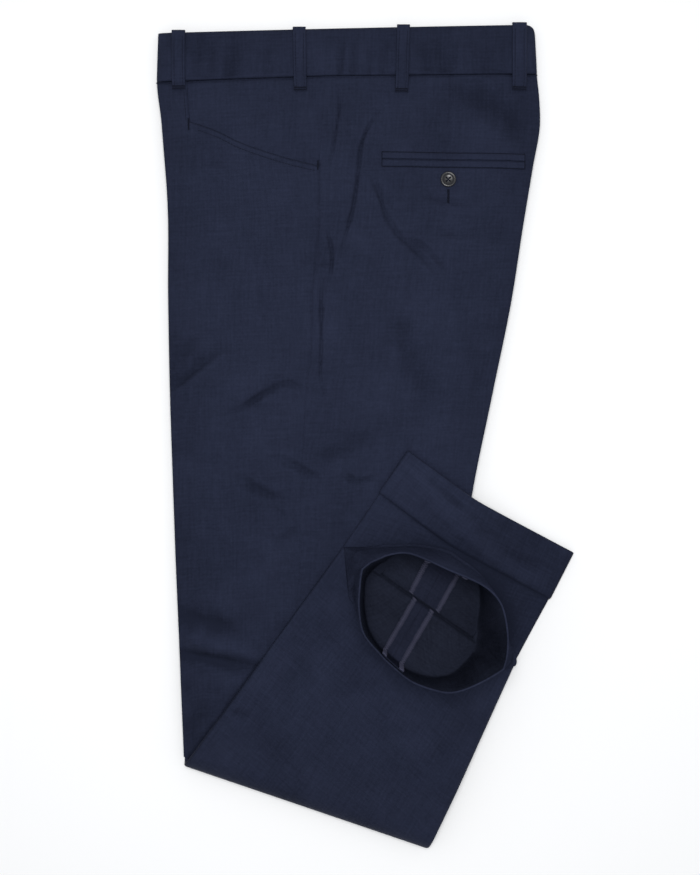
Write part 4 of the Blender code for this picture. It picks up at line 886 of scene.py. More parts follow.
# Geometry Nodes tree that lays one arched thread on every point, along its own direction
def stitchTree():
    tree = bpy.data.node_groups.new("stitches", "GeometryNodeTree")
    kinds = {"Geometry": "Geometry", "Length": "Float", "Thread": "Float", "Arch": "Float", "Unevenness": "Float",
             "Seed": "Int", "Finish": "Material"}
    for label, kind in kinds.items():
        tree.interface.new_socket(label, in_out="INPUT", socket_type="NodeSocket" + kind)
    tree.interface.new_socket("Geometry", in_out="OUTPUT", socket_type="NodeSocketGeometry")
    add, maths = nodeMakers(tree)

    def step(kind, feed, **settings):
        return add(kind, feed, **settings).outputs[0]

    given = add("NodeGroupInput").outputs
    start, end = (step("ShaderNodeCombineXYZ", {"X": maths("MULTIPLY", given["Length"], k)}) for k in (-0.5, 0.5))
    crown = step("ShaderNodeCombineXYZ", {"Z": maths("MULTIPLY", given["Arch"], 2.0)})
    path = step("GeometryNodeCurveQuadraticBezier", {"Resolution": 4, "Start": start, "Middle": crown, "End": end})
    radius = maths("MULTIPLY", given["Thread"], 0.5)
    section = step("GeometryNodeCurvePrimitiveCircle", {"Resolution": 5, "Radius": radius})
    strand = step("GeometryNodeCurveToMesh", {"Fill Caps": True, "Curve": path, "Profile Curve": section})
    along, up = (
        add("GeometryNodeInputNamedAttribute", {"Name": name}, data_type="FLOAT_VECTOR").outputs["Attribute"]
        for name in ("along", "up")
    )
    align = "FunctionNodeAlignRotationToVector"
    turn = step(align, {"Vector": along}, axis="X", pivot_axis="AUTO")
    turn = step(align, {"Vector": up, "Rotation": turn}, axis="Z", pivot_axis="X")
    limits = {
        2: maths("SUBTRACT", 1.0, given["Unevenness"]),
        3: maths("ADD", given["Unevenness"], 1.0),
        "Seed": given["Seed"],
    }
    scale = add("FunctionNodeRandomValue", limits, data_type="FLOAT").outputs[1]
    points = step("GeometryNodeMeshToPoints", {"Mesh": given["Geometry"]})
    laying = {"Points": points, "Instance": strand, "Rotation": turn, "Scale": scale}
    laid = step("GeometryNodeRealizeInstances", {0: step("GeometryNodeInstanceOnPoints", laying)})
    rounded = step("GeometryNodeSetShadeSmooth", {0: laid})
    add("NodeGroupOutput", {0: step("GeometryNodeSetMaterial", {0: rounded, "Material": given["Finish"]})})
    return tree


stitchNodes = stitchTree()


# a run is points, directions of the threads and directions away from the cloth, in millimetres
def makeStitches(name, runs, finish, length=2.6, width=0.42, arch=0.22, uneven=0.08, seed=4, slotName="navy_twill"):
    at, along, up = (np.concatenate([np.asarray(run[k], float) for run in runs]) for k in range(3))
    mesh = bpy.data.meshes.new(name)
    mesh.from_pydata(toFrame(at).tolist(), [], [])
    for label, values in (("along", along), ("up", up)):
        layer = mesh.attributes.new(label, "FLOAT_VECTOR", "POINT")
        layer.data.foreach_set("vector", values.astype(np.float32).ravel())
    carrier = addObject(name + "Points", mesh)
    modifier = carrier.modifiers.new("stitches", "NODES")
    modifier.node_group = stitchNodes
    values = {"Length": length * mm, "Thread": width * mm, "Arch": arch * mm, "Unevenness": uneven, "Seed": seed,
              "Finish": finish}
    for item in stitchNodes.interface.items_tree:
        if item.in_out == "INPUT" and item.name in values:
            modifier[item.identifier] = values[item.name]
    made = finishedMesh(carrier)
    made.name = name
    return dress(addObject(name, made), None, slotName)


# evenly spaced stitches along a path of 3-D points; across lays each thread over the path, lean tilts every other one
def stitchRun(path, pitch, up=None, across=False, lean=0.0, lift=0.1):
    path = np.asarray(path, float)
    at = pathLengths(path)
    count = max(int(at[-1] / pitch), 1)
    want = (np.arange(count) + 0.5) * at[-1] / count
    ahead = sample(np.minimum(want + 0.4 * pitch, at[-1]), at, path)
    behind = sample(np.maximum(want - 0.4 * pitch, 0.0), at, path)
    run = (ahead - behind) / np.maximum(np.linalg.norm(ahead - behind, axis=1, keepdims=True), 1e-6)
    ups = np.tile((0.0, 0.0, 1.0), (count, 1))
    if up is not None:
        ups = sample(want, at, np.asarray(up, float))
        ups /= np.maximum(np.linalg.norm(ups, axis=1, keepdims=True), 1e-6)
    side = np.cross(ups, run)
    turns = lean * np.where(np.arange(count) % 2 == 0, 1.0, -1.0)[:, None]
    direction = side + turns * run if across else run + turns * side
    return sample(want, at, path) + ups * lift, direction, ups


# points on the thigh's face over a path in the plan
def onThigh(points, count=40, lift=0.0):
    plan = throughPoints(points, count)
    return np.column_stack((plan, bodySurface(plan[:, 0], plan[:, 1]) + seamDip(plan[:, 0], plan[:, 1]) + lift))


# fractional rows of the body about step millimetres apart
def rowsBetween(first, last, step):
    fine = np.linspace(first, last, 400)
    run = pathLengths(bodyRow(fine)[1])
    want = np.linspace(0.0, run[-1], max(int(run[-1] / step), 1) + 1)
    return np.interp(want, run, fine)


panel = {
    "closing": (0.3, 0.55, 0.74, 0.86, 0.94, 0.98),  # from the curled edge to the first even column
    "seamInsets": (3.6, 2.4, 1.5, 0.9, 0.4, 0.0),
}


# columns from a panel's outer edge to its seam: inset from the edge, share of the width, level on the curled edge
def panelColumns(shares, last, reach):
    columns = []
    for a in (math.radians(angle) for angle in np.linspace(0.0, 90.0, 8)):
        columns.append((roll["curl"] * (1 - math.sin(a)), 0.0, roll["curlLevel"] * (1 - math.cos(a))))
    insets = [reach * (1 - math.cos(math.radians(angle))) for angle in np.linspace(12.0, 90.0, 10)]
    columns += [(inset, 0.0, np.nan) for inset in insets if inset < last] + [(last, 0.0, np.nan)]
    columns += [(last * (1.0 - part), shares[0] * part, np.nan) for part in panel["closing"]]
    columns += [(0.0, share, np.nan) for share in shares]
    columns += [(-inset, 1.0, np.nan) for inset in panel["seamInsets"]]
    return np.array(columns)


# pressed seams of the thigh: side seam, seam under the band, back dart, puffed cloth beside the side seam
seams = {
    "sideDepth": 0.5,
    "sideLow": 0.22,
    "sideWidth": 1.1,
    "sideFrom": (20.0, 90.0),
    "sideTo": (272.0, 8.0),
    "waistDepth": 1.3,
    "waistWidth": 1.7,
    "waistLine": ((-203.0, -39.4, 166.0), (345.0, 350.8, 352.7)),
    "dart": 0.6,
    "dartWidth": 1.6,
    "dartX": (83.5, 82.6),
    "dartTop": 337.5,
    "dartRun": 61.0,
    "dartTo": (279.0, 8.0),
    "puff": (0.2, 5.0, 3.0),
}


def seamDip(x, y):
    away = x - curve(sideSeam, y)
    low, lowSpan = seams["sideFrom"]
    end, endSpan = seams["sideTo"]
    belowPocket = smooth((end - y) / endSpan)
    side = mix(seams["sideLow"], seams["sideDepth"], smooth((y - low) / lowSpan)) * belowPocket
    waist = np.interp(x, *seams["waistLine"]) - y
    dartX = mix(*seams["dartX"], (seams["dartTop"] - y) / seams["dartRun"])
    dart = trench(x - dartX, seams["dartWidth"]) * smooth((y - seams["dartTo"][0]) / seams["dartTo"][1])
    high, place, wide = seams["puff"]
    puff = high * trench(np.abs(away) - place, wide) * belowPocket
    return (puff - side * trench(away, seams["sideWidth"]) - seams["waistDepth"] * trench(waist, seams["waistWidth"])
            - seams["dart"] * dart)


# rolled edge of the front where the pocket opens, and the trench that its topstitching pulls in, each as
# height, place and width; the same beside the upright line of the pocket
mouth = {
    "roll": (-1.0, 0.0, 0.8),
    "rise": (0.5, 2.6, 1.9),
    "stitches": (-0.4, 6.0, 1.0),
    "sideRoll": (-0.8, 0.0, 0.9),
    "sideRise": (0.4, 2.2, 1.6),
    "start": (0.165, 0.02),
}


def ridges(away, names):
    return sum(high * trench(away - place, wide) for high, place, wide in (mouth[name] for name in names))


def mouthRelief(row, share, x, y):
    _, edgeY = frontPoint(mouthRow, 0.0 * x, share)
    edgeX, _ = frontPoint(row, 0.0 * x, pocketShare)
    under = ridges(np.maximum(edgeY - y, 0.0), ("roll", "rise", "stitches"))
    beside = ridges(np.maximum(edgeX - x, 0.0), ("sideRoll", "sideRise"))
    start, span = mouth["start"]
    under, beside = under * smooth((share - start) / span), beside * (share < pocketShare + 0.001)
    return np.where(row >= mouthRow - 0.001, under, beside)


def thighPoints(pointOf, rows, columns):
    row = rows[:, None]
    inset, share, level = columnValues(columns)
    x, y = pointOf(row, inset, share)
    level = np.broadcast_to(level, x.shape)
    curled = mix(line(middles, row) + cloth["layerGap"] / 2, bodyTop(x, y), np.nan_to_num(level))
    z = np.where(np.isnan(level), bodySurface(x, y) + seamDip(x, y), curled)
    if pointOf is frontPoint:
        z = z + mouthRelief(row, share, x, y)
    return points3d(x, y, z)


waistRows = np.array((0.0, 0.014, 0.03, 0.05))  # close rows beside the waist seam
# rows and columns of the thigh's mesh: first, last, step
thigh = {
    "upperRows": (0.07, 2.0, 2.0),
    "mouthRows": np.array((0.0, 0.4, 0.9, 1.5, 2.3, 3.3, 4.4, 5.3, 6.0, 6.8)) / 44,  # a row is 44 mm high there
    "seatRows": (2.2, 5.0, 1.75),
    "lowerRows": (5.0, 15.8, 2.1),
    "frontColumns": (pocketShare, 0.965, 0.0145),
    "frontCurl": 18.5,
    "backColumns": ((0.235, 0.38, 0.0145), (0.38, 0.68, 0.0085), (0.68, 0.975, 0.0048)),
    "backCurl": 29.0,
}


def makeThigh():
    rows = np.concatenate((
        waistRows, rowsBetween(*thigh["upperRows"])[:-1], mouthRow + thigh["mouthRows"],
        rowsBetween(*thigh["seatRows"])[:-1], rowsBetween(*thigh["lowerRows"]),
    ))
    front = panelColumns(stepped(*thigh["frontColumns"]), thigh["frontCurl"], roll["front"])
    coarse, middle, fine = (stepped(*part) for part in thigh["backColumns"])
    back = panelColumns(coarse[:-1] + middle[:-1] + fine, thigh["backCurl"], roll["back"])
    frontGrid = thighPoints(frontPoint, rows, front)
    backGrid = thighPoints(backPoint, rows, back)[:, ::-1]
    seam = frontGrid.shape[1] - 1
    outer = np.concatenate((frontGrid, backGrid[:, 1:]), axis=1)
    inner = outer - turned(normalsOf(outer), 9, seam, (0, 0, 1)) * cloth["twill"]
    pocketColumn = int(np.argmin(np.abs(front[:, 1] - pocketShare)))
    keep = np.ones((len(rows) - 1, seam), bool)
    keep[: int(np.argmin(np.abs(rows - mouthRow))), pocketColumn:] = False
    cut = cutOut(outer, inner, 0, seam, (False, True))
    piece = shell("leftFrontPanel", *cut, navy, keep, paintedShadeOf=thighPaintedShade)
    dress(piece, "left_front", "navy_twill", flat=(0.17, 0.70), held="folded", rests_on=["right_front"], area=0.103,
          with_pieces=[makePocketStitches()])
    cut = cutOut(outer, inner, seam, outer.shape[1] - 1, (True, False))
    piece = shell("leftBackPanel", *cut, navy, paintedShadeOf=thighPaintedShade)
    dress(piece, "left_back", "navy_twill", flat=(0.24, 0.74), held="folded", rests_on=["right_back"], area=0.14,
          with_pieces=[makeBackStitches()])


# topstitching below the mouth of the front pocket, the line up its side and its tacks
frontStitches = {
    "mouth": (0.235, 0.975),
    "side": (0.12, 1.93),
    "sideInset": 3.2,
    "pitch": 3.1,
    "tacks": (((-46.2, 267.5), (-46.4, 258.5), 0.5), ((-171.9, 309.0), (-171.7, 297.5), 0.6)),
    "tackPitch": 0.5,
}


def makePocketStitches():
    given = frontStitches
    low, away, _ = mouth["stitches"]
    x, y = frontPoint(mouthRow, 0.0, np.linspace(*given["mouth"], 60))
    topline = points3d(x, y - away, bodySurface(x, y - away) + low)
    x, y = frontPoint(np.linspace(*given["side"], 40), 0.0, pocketShare)
    x = x - given["sideInset"]
    side = points3d(x, y, bodySurface(x, y) + 0.25)
    tacks = [onThigh((start, end), lift=lift) for start, end, lift in given["tacks"]]
    makeStitches("frontPocketTacks", [stitchRun(t, given["tackPitch"], across=True) for t in tacks], thread,
                 length=1.3, width=0.45)
    runs = [stitchRun(path, given["pitch"]) for path in (topline, side)]
    return makeStitches("frontPocketTopstitching", runs, thread)


# round the back pocket: its end tacks, the buttonhole below with its lower bar, the stitched edges, whose dark thread
# also stands in for the shadow lines along the welts' edges
backStitches = {
    "bars": (((16.0, 276.4), (16.0, 261.2)), ((154.2, 274.6), (154.2, 259.4))),
    "hole": (((79.5, 239.6), (79.5, 227.0)), ((80.5, 239.6), (80.5, 227.0))),
    "holeEnd": ((78.8, 226.6), (81.2, 226.6)),
    "edges": (((16.2, 276.1), (154.0, 274.1)), ((16.2, 261.5), (154.0, 259.5))),
    "tackPitch": 0.5,
    "edgePitch": 1.05,
}


def makeBackStitches():
    given = backStitches
    paths = [onThigh(ends, 12, 0.9) for ends in given["bars"]]
    paths += [onThigh(ends, 12, 0.15) for ends in given["hole"]] + [onThigh(given["holeEnd"], 6, 0.2)]
    runs = [stitchRun(path, given["tackPitch"], across=True) for path in paths]
    # edge stitching in dark thread, also drawn as the welts' shadow lines
    runs += [stitchRun(onThigh(ends, 90, 0.35), given["edgePitch"]) for ends in given["edges"]]
    return makeStitches("backPocketTacks", runs, thread, length=1.0, width=0.42)


# the facing that shows between the waist seam, the side seam and the pocket's mouth
bearer = {
    "rows": (0.07, 2.0, 2.4),
    "under": (2.1, 2.22),  # rows below the mouth
    "tuck": 9.0,
    "step": 0.02,
    "mouthFrom": 6.0,
    "mouthSpan": 26.0,
    "sideSpan": 22.0,
    "gap": 0.15,
}


def makeBearer():
    rows = np.concatenate((waistRows, rowsBetween(*bearer["rows"]), bearer["under"]))[:, None]
    front, seam, _ = bodyRow(np.array(mouthRow))
    width = np.linalg.norm(seam - front)
    shares = np.array([pocketShare - bearer["tuck"] / width] + stepped(pocketShare, 1.0, bearer["step"]))[None, :]
    inset = np.where(shares == 1.0, -cloth["seamGap"] / 2, 0.0)
    x, y = frontPoint(rows, inset, shares)
    _, mouthY = frontPoint(mouthRow, inset, shares)
    byMouth = 1.0 - smooth((y - mouthY - bearer["mouthFrom"]) / bearer["mouthSpan"])
    bySide = 1.0 - smooth((shares - pocketShare) * width / bearer["sideSpan"])
    sink = (cloth["twill"] + cloth["layerGap"] + bearer["gap"]) * np.maximum(byMouth, bySide)
    outer = points3d(x, y, bodySurface(x, y) + seamDip(x, y) - sink)
    inner = outer - turned(normalsOf(outer), 1, 5, (0, 0, 1)) * cloth["twill"]
    piece = shell("pocketBearer", outer, inner, navy, paintedShadeOf=thighPaintedShade)
    dress(piece, "left_pocket_bearer", "navy_twill", flat=(0.15, 0.09), held="folded", rests_on=["hidden_layers"],
          area=gridArea(outer))


# the two welts of the back pocket
welts = {
    "left": (16.2, 275.6),
    "right": (154.0, 273.6),
    "depth": 6.3,
    "slit": 0.95,
    "thick": 1.6,
    "edge": 0.55,  # share of the thickness at the long edges
    "crown": 0.5,
    "wander": (0.12, 16.0, 21),
}


def makeWelts():
    left, right = np.array(welts["left"]), np.array(welts["right"])
    size = np.linalg.norm(right - left)
    along = (right - left) / size
    downward = np.array((along[1], -along[0]))
    s = np.linspace(0.0, size, 90)[:, None]
    t = np.linspace(0.0, 1.0, 9)[None, :]
    high = welts["edge"] + welts["crown"] * np.sqrt(np.maximum(0.0, 1.0 - (2 * t - 1) ** 4))
    second = welts["depth"] + welts["slit"]
    for node, name, start in (("back_welt_upper", "upperWelt", 0.0), ("back_welt_lower", "lowerWelt", second)):
        x, y = (left[k] + along[k] * s + downward[k] * (start + welts["depth"] * t) for k in (0, 1))
        base = bodySurface(x, y) + cloth["sewnLift"]
        outer = points3d(x, y, base + welts["thick"] * high + bumps(x, y, welts["wander"]))
        piece = shell(name, outer, points3d(x, y, base), navy)
        dress(piece, node, "navy_twill", flat=(0.014, 0.138), held="folded", rests_on=["left_back"], area=0.00092)


button = {
    "centre": (79.9, 249.0),
    "radius": 7.6,
    "height": 2.6,
    "sides": 72,
    "profile": (  # share of the radius, share of the height
        (0.0, 0.45), (0.30, 0.46), (0.52, 0.50), (0.60, 0.58), (0.66, 0.74), (0.72, 0.90), (0.80, 0.99),
        (0.88, 1.0), (0.95, 0.90), (0.99, 0.72), (1.0, 0.5), (0.97, 0.25), (0.90, 0.06), (0.86, 0.0),
    ),
    "slopeReach": 6,  # how far round the button its tilt is measured
    "holes": 4,
    "holeRadius": 0.78,
    "holeAway": 1.75,
    "holeSides": 12,
    "threads": ((0.72, 0.69, 0.0), (0.66, -0.75, 0.0)),
    "threadLift": (0.0, 0.1),
}


def makeButton():
    centre, radius, height, profile = (button[key] for key in ("centre", "radius", "height", "profile"))
    reach, sides = button["slopeReach"], button["sides"]
    x0, y0 = (np.array([v]) for v in centre)
    ground = float(bodySurface(x0, y0)[0])
    base = ground + cloth["sewnLift"]
    slopeX = float((bodySurface(x0 + reach, y0) - bodySurface(x0 - reach, y0))[0]) / (2 * reach)
    slopeY = float((bodySurface(x0, y0 + reach) - bodySurface(x0, y0 - reach))[0]) / (2 * reach)
    points, faces = [], []
    for share, level in profile[1:]:
        for k in range(sides):
            a = 2 * math.pi * k / sides
            dx, dy = share * radius * math.cos(a), share * radius * math.sin(a)
            points.append((centre[0] + dx, centre[1] + dy, base + slopeX * dx + slopeY * dy + level * height))
    top, last = len(points), (len(profile) - 2) * sides
    points += [(*centre, base + profile[0][1] * height), (*centre, base)]
    for k in range(sides):
        n = (k + 1) % sides
        faces.append((top, k, n))
        faces += [(near + k, near + sides + k, near + sides + n, near + n) for near in range(0, last, sides)]
        faces.append((top + 1, last + n, last + k))
    solid = addMesh("buttonBlank", points, faces, buttonFinish, sharp=40)
    drills = addMesh("buttonDrills", *drillPoints(ground), buttonFinish)
    cut = solid.modifiers.new("holes", "BOOLEAN")
    cut.object, cut.solver = drills, "EXACT"
    dress(addObject("pocketButton", finishedMesh(solid, drills)), "back_pocket_button", "button")
    at = np.array([(*centre, base + 0.5 * height + lift) for lift in button["threadLift"]])
    ups = np.tile((0.0, 0.0, 1.0), (2, 1))
    makeStitches("buttonThread", [(at, np.array(button["threads"]), ups)], thread, length=4.6, width=0.85, arch=0.7)


# the holes through the button
def drillPoints(ground):
    centre, away, wide, sides = (button[key] for key in ("centre", "holeAway", "holeRadius", "holeSides"))
    points, faces = [], []
    for k in range(button["holes"]):
        a = math.radians(45 + 90 * k)
        first = len(points)
        for z in (ground - 2.0, ground + 6.0):
            for j in range(sides):
                b = 2 * math.pi * j / sides
                points.append((centre[0] + away * math.cos(a) + wide * math.cos(b),
                               centre[1] + away * math.sin(a) + wide * math.sin(b), z))
        low, high = range(first, first + sides), range(first + sides, first + 2 * sides)
        faces += [(low[j], low[(j + 1) % sides], high[(j + 1) % sides], high[j]) for j in range(sides)]
        faces += [tuple(reversed(low)), tuple(high)]
    return points, faces


# both halves of the waistband: the line of its top, its rounded corner, its rolled edges
band = {
    "left": (-202.1, 393.3),
    "right": (165.0, 401.6),
    "foot": (345.0, 352.7),  # y of the waist seam at the left and at the right
    "footGap": 0.4,
    "arch": 0.6,
    "corner": 0.974,
    "fall": 8.0,
    "slope": 0.9,
    "slopeFrom": 0.35,
    "edge": (  # inset, share of the full height
        (0.0, 0.62), (0.8, 0.72), (1.8, 0.80), (3.2, 0.86), (5.0, 0.91), (8.0, 0.95), (12.0, 0.98), (17.0, 0.995),
        (22.0, 1.0),
    ),
    "frontColumns": (0.16, 0.985, 0.015),
    "backColumns": (1.0, 0.13, 0.0115),
    "footRows": [0.0, 0.015, 0.035, 0.07, 0.12],
    "rows": (0.17, 0.86, 0.046),
    "headRows": [0.90, 0.94, 0.965, 0.985, 0.996, 1.0],
    "footRoll": (1.6, 0.07),
    "headRoll": (1.7, 0.13),
    "puff": 0.5,
    "wander": (0.25, 24.0, 31),
    "lift": 0.4,
    "halfGap": 0.15,
    "least": 0.4,
}


def bandEdge(across):
    corner = np.clip((across - band["corner"]) / (1.0 - band["corner"]), 0.0, 1.0)
    arch = band["arch"] * np.sin(math.pi * np.clip(across, 0.0, 1.0))
    return mix(band["left"][1], band["right"][1], across) + arch - band["fall"] * (1.0 - np.sqrt(1.0 - corner ** 2))


def bandPoint(up, inset, share, side):
    x, y = bodyPoint(0.0, side, inset, share)
    left, right = curve(frontCrease, band["foot"][0]), curve(seatEdge, band["foot"][1])
    across = (x - left) / (right - left)
    topX = mix(band["left"][0], band["right"][0], across)
    return mix(x, topX, up), mix(y + band["footGap"], bandEdge(across), up)


# soft upright gathers of the band: x, lean, half width, depth
bandFolds = (
    (-163, 1, 7, -1.1), (-151, 2, 5, -1.0), (-131, 2, 7, -1.5), (-96, 1, 6, -0.9), (-24, 3, 3, -1.9), (-12, 2, 4, -1.5),
    (4, 2, 5, -1.2), (17, 2, 4, -1.5), (57, -6, 7, -1.9), (72, -7, 6, -1.9), (84, 2, 6, -1.0), (101, 3, 8, -0.9),
    (118, 2, 9, -1.4), (134, 2, 6, -0.9),
)


def gatherHeight(x, up):
    fade = smooth((1.0 - up) / 0.6) * 0.8 + 0.2
    return sum(deep * fade * trench(x - at - lean * (up - 0.5), wide) for at, lean, wide, deep in bandFolds)


# painted shade, colour alone: darker towards the top edge and the right end, as depth, start and span, and in the
# gathers' troughs
bandPaintedShades = {"foot": 348.0, "height": 46.0, "top": (0.10, 0.25, 0.75), "right": (0.09, 88.0, 30.0), "gathers": 0.17}


def bandPaintedShade(x, y, z):
    up = np.clip((y - bandPaintedShades["foot"]) / bandPaintedShades["height"], 0.0, 1.0)
    parts = ((up, bandPaintedShades["top"]), (x, bandPaintedShades["right"]))
    across = sum(deep * smooth((at - start) / span) for at, (deep, start, span) in parts)
    return bandPaintedShades["gathers"] * gatherHeight(x, up) - across


def makeBands():
    columns = [(-1, i, 0.0, lv) for i, lv in band["edge"]]
    columns += [(-1, 0.0, s, 1.0) for s in stepped(*band["frontColumns"])]
    columns += [(1, 0.0, s, 1.0) for s in stepped(*band["backColumns"])]
    columns += [(1, i, 0.0, lv) for i, lv in reversed(band["edge"])]
    side, inset, share, level = columnValues(columns)
    ups = np.array(band["footRows"] + stepped(*band["rows"]) + band["headRows"])[:, None]
    x, y = bandPoint(ups, inset, share, side)
    inward = np.minimum(ups, 1.0 - ups)
    foot, head = (deep * (1 - bulge(inward / wide)) for deep, wide in (band["footRoll"], band["headRoll"]))
    drop = np.where(ups < 0.5, foot, head)
    drop = drop + band["slope"] * smooth((ups - band["slopeFrom"]) / (1.0 - band["slopeFrom"]))
    puff = band["puff"] * np.sin(math.pi * ups) + bumps(x, y, band["wander"])
    relief = (gatherHeight(x, ups) + puff) * smooth((level - 0.8) / 0.2) * smooth(inward / 0.12)
    top, middle = bodyTop(x, y) + band["lift"], bodyMiddle(x, y)
    gap, least, inside = band["halfGap"], band["least"], smooth((level - 0.7) / 0.3)
    high = mix(middle + gap, top, level) - drop + relief
    low = mix(middle + gap, top - cloth["band"], inside)
    outer, inner = points3d(x, y, high), points3d(x, y, np.minimum(low, high - least))
    piece = shell("leftWaistband", outer, inner, navy, paintedShadeOf=bandPaintedShade)
    dress(piece, "waistband_left", "navy_twill", flat=(0.05, 0.40), held="folded", rests_on=["waistband_right"],
          area=gridArea(outer))
    high = np.maximum(0.0, (1.0 - level) * middle * 0.6 - gap)
    low = mix(middle - gap, cloth["band"], inside)
    outer, inner = points3d(x, y, high), points3d(x, y, np.maximum(low, high + least))
    piece = shell("rightWaistband", outer, inner, navy)
    dress(piece, "waistband_right", "navy_twill", flat=(0.05, 0.40), held="folded", area=gridArea(outer))


# what the loops lie on: the band, then the thigh below it
def loopBed(x, y):
    left, right = x - curve(frontCrease, y), curve(seatEdge, y) - x
    level = mix(0.62, 1.0, np.minimum(bulge(left / 12.0), bulge(right / 12.0)))
    onBand = mix(bodyMiddle(x, y), bodyTop(x, y) + band["lift"], level) + 0.5
    return mix(bodySurface(x, y), onBand, smooth((y - 341.0) / 5.0))


# node, x at the top, x at the bottom, width, y of the lower end
loops = (
    ("belt_loop_front", -182.0, -181.6, 13.0, 337.5),
    ("belt_loop_side", -64.6, -63.4, 12.6, 336.0),
    ("belt_loop_back", 36.8, 35.0, 12.6, 334.5),
    ("belt_loop_centre_back", 149.6, 149.2, 14.0, 336.5),
)


loopStrip = {
    "start": ((-1.5, 0.2, 1.6), (-1.2, 0.9, 2.0), (-0.7, 1.4, 2.2), (0.0, 1.65, 1.2), (0.8, 1.7, 0.0)),
    "end": ((4.0, 1.6), (3.0, 1.35), (2.0, 1.4), (1.0, 1.3), (0.0, 0.7)),
    "rows": (2.5, 5.0, 2.4),
    "rise": 1.75,
    "arch": 0.45,
    "archRun": 56.0,
    "half": (  # share of the width from the middle, how much lower
        (0.5, 0.75), (0.485, 0.4), (0.45, 0.12), (0.39, 0.0), (0.35, 0.05), (0.31, 0.24), (0.26, 0.05), (0.14, 0.0),
    ),
    "bed": 0.45,
    "edgeStitches": (5, 11),  # columns
    "edgePitch": 2.9,
    "tacks": (-4, -2),  # rows
    "tackPitch": 0.5,
}


def makeLoops():
    given = loopStrip
    half = np.array(given["half"])
    acrosses = np.concatenate((-half[:, 0], [0.0], half[::-1, 0]))[None, :]
    soft = np.concatenate((half[:, 1], [0.0], half[::-1, 1]))[None, :]
    for node, topX, bottomX, width, bottomY in loops:
        edge = float(bandEdge(np.array((topX - band["left"][0]) / (band["right"][0] - band["left"][0]))))
        long = edge - bottomY
        first, last, step = given["rows"]
        run = list(given["start"])
        for d in stepped(first, long - last, step):
            run.append((d, given["rise"] + given["arch"] * math.sin(math.pi * d / given["archRun"]), 0.0))
        run += [(long - k, rise, 0.0) for k, rise in given["end"]]
        d, rise, drop = (np.array(values)[:, None] for values in zip(*run))
        y = edge - d + 0.0 * acrosses
        x = mix(topX, bottomX, np.clip(d / long, 0.0, 1.0)) + acrosses * width
        bed = np.maximum(loopBed(x, y), loopBed(x, y - 2.0)) + given["bed"]
        outer, inner = points3d(x, y, bed + rise - soft), points3d(x, y, bed - drop)
        name = node.replace("_", "") + "Strip"
        piece = shell(name, outer, inner, navy)
        runs = [stitchRun(outer[6:-3, k] + (0, 0, 0.05), given["edgePitch"]) for k in given["edgeStitches"]]
        stitches = makeStitches(name + "Edges", runs, thread, length=2.3, width=0.38)
        tacks = [stitchRun(outer[k, 1:-1] + (0, 0, 0.15), given["tackPitch"], across=True) for k in given["tacks"]]
        bars = makeStitches(name + "Tacks", tacks, thread, length=1.2, width=0.5)
        dress(piece, node, "navy_twill", flat=(0.014, 0.068), held="stretched", rests_on=["waistband_left"],
              with_pieces=[stitches, bars])


# the right leg: underside of the pile, knee fold, top of the folded-up leg; rows and columns are first, last, step
rightLeg = {
    "roll": 3.2,
    "rollEnd": 7.0,
    "insets": (9.0, 12.0, 15.0, 18.0),
    "seamInsets": (2.4, 1.5, 0.8, 0.0),
    "frontColumns": (0.23, 0.965, 0.024),
    "backColumns": (0.975, 0.17, 0.018),
    "underRows": (0.0, 15.2, 3.6),
    "topRows": (0.17, 0.9, 0.0095),
    "kneeRows": 2.2,  # how much closer the rows get towards the knee
    "kneeRow": 16.0,
    "kneeShift": 1.5,
    "kneeRelief": 40.0,
    "endRelief": 20.0,
    "step": 0.5,
}


# height of the underside near the knee fold, and its slope
def underFold(distance):
    half = pile["foldTop"] / 2
    height = half - half * bulge(distance / pile["foldRoundUnder"])
    ahead = half - half * bulge((distance + rightLeg["step"]) / pile["foldRoundUnder"])
    return height, (ahead - height) / rightLeg["step"]


# underside folds, which rise from the table
underFolds = [
    (((-150, 250), (-120, 205), (-60, 180)), 14, 18, 1.0, 0.0),
    (((20, 300), (50, 240), (110, 215)), 16, 12, 1.2, 0.0),
    (((-160, 60), (-110, 40), (-60, 70)), 12, 15, 1.0, 0.0),
    (((-20, 120), (20, 60), (70, 30)), 15, 18, 1.1, 0.0),
    (((-140, -60), (-90, -80), (-20, -60)), 13, 15, 0.9, 0.0),
    (((-150, -180), (-80, -200), (20, -190)), 14, 12, 1.2, 0.0),
    (((-20, -260), (30, -290), (60, -270)), 12, 12, 0.8, 0.0),
]


# inset and depth round the leg's rolled edge
def smallRoll():
    angles = [math.radians(angle) for angle in np.linspace(0.0, 180.0, 15)]
    columns = [(rightLeg["roll"] * (1 - math.sin(a)), 0.5 + 0.5 * math.cos(a)) for a in angles]
    return columns + [(rightLeg["rollEnd"], 0.0)]


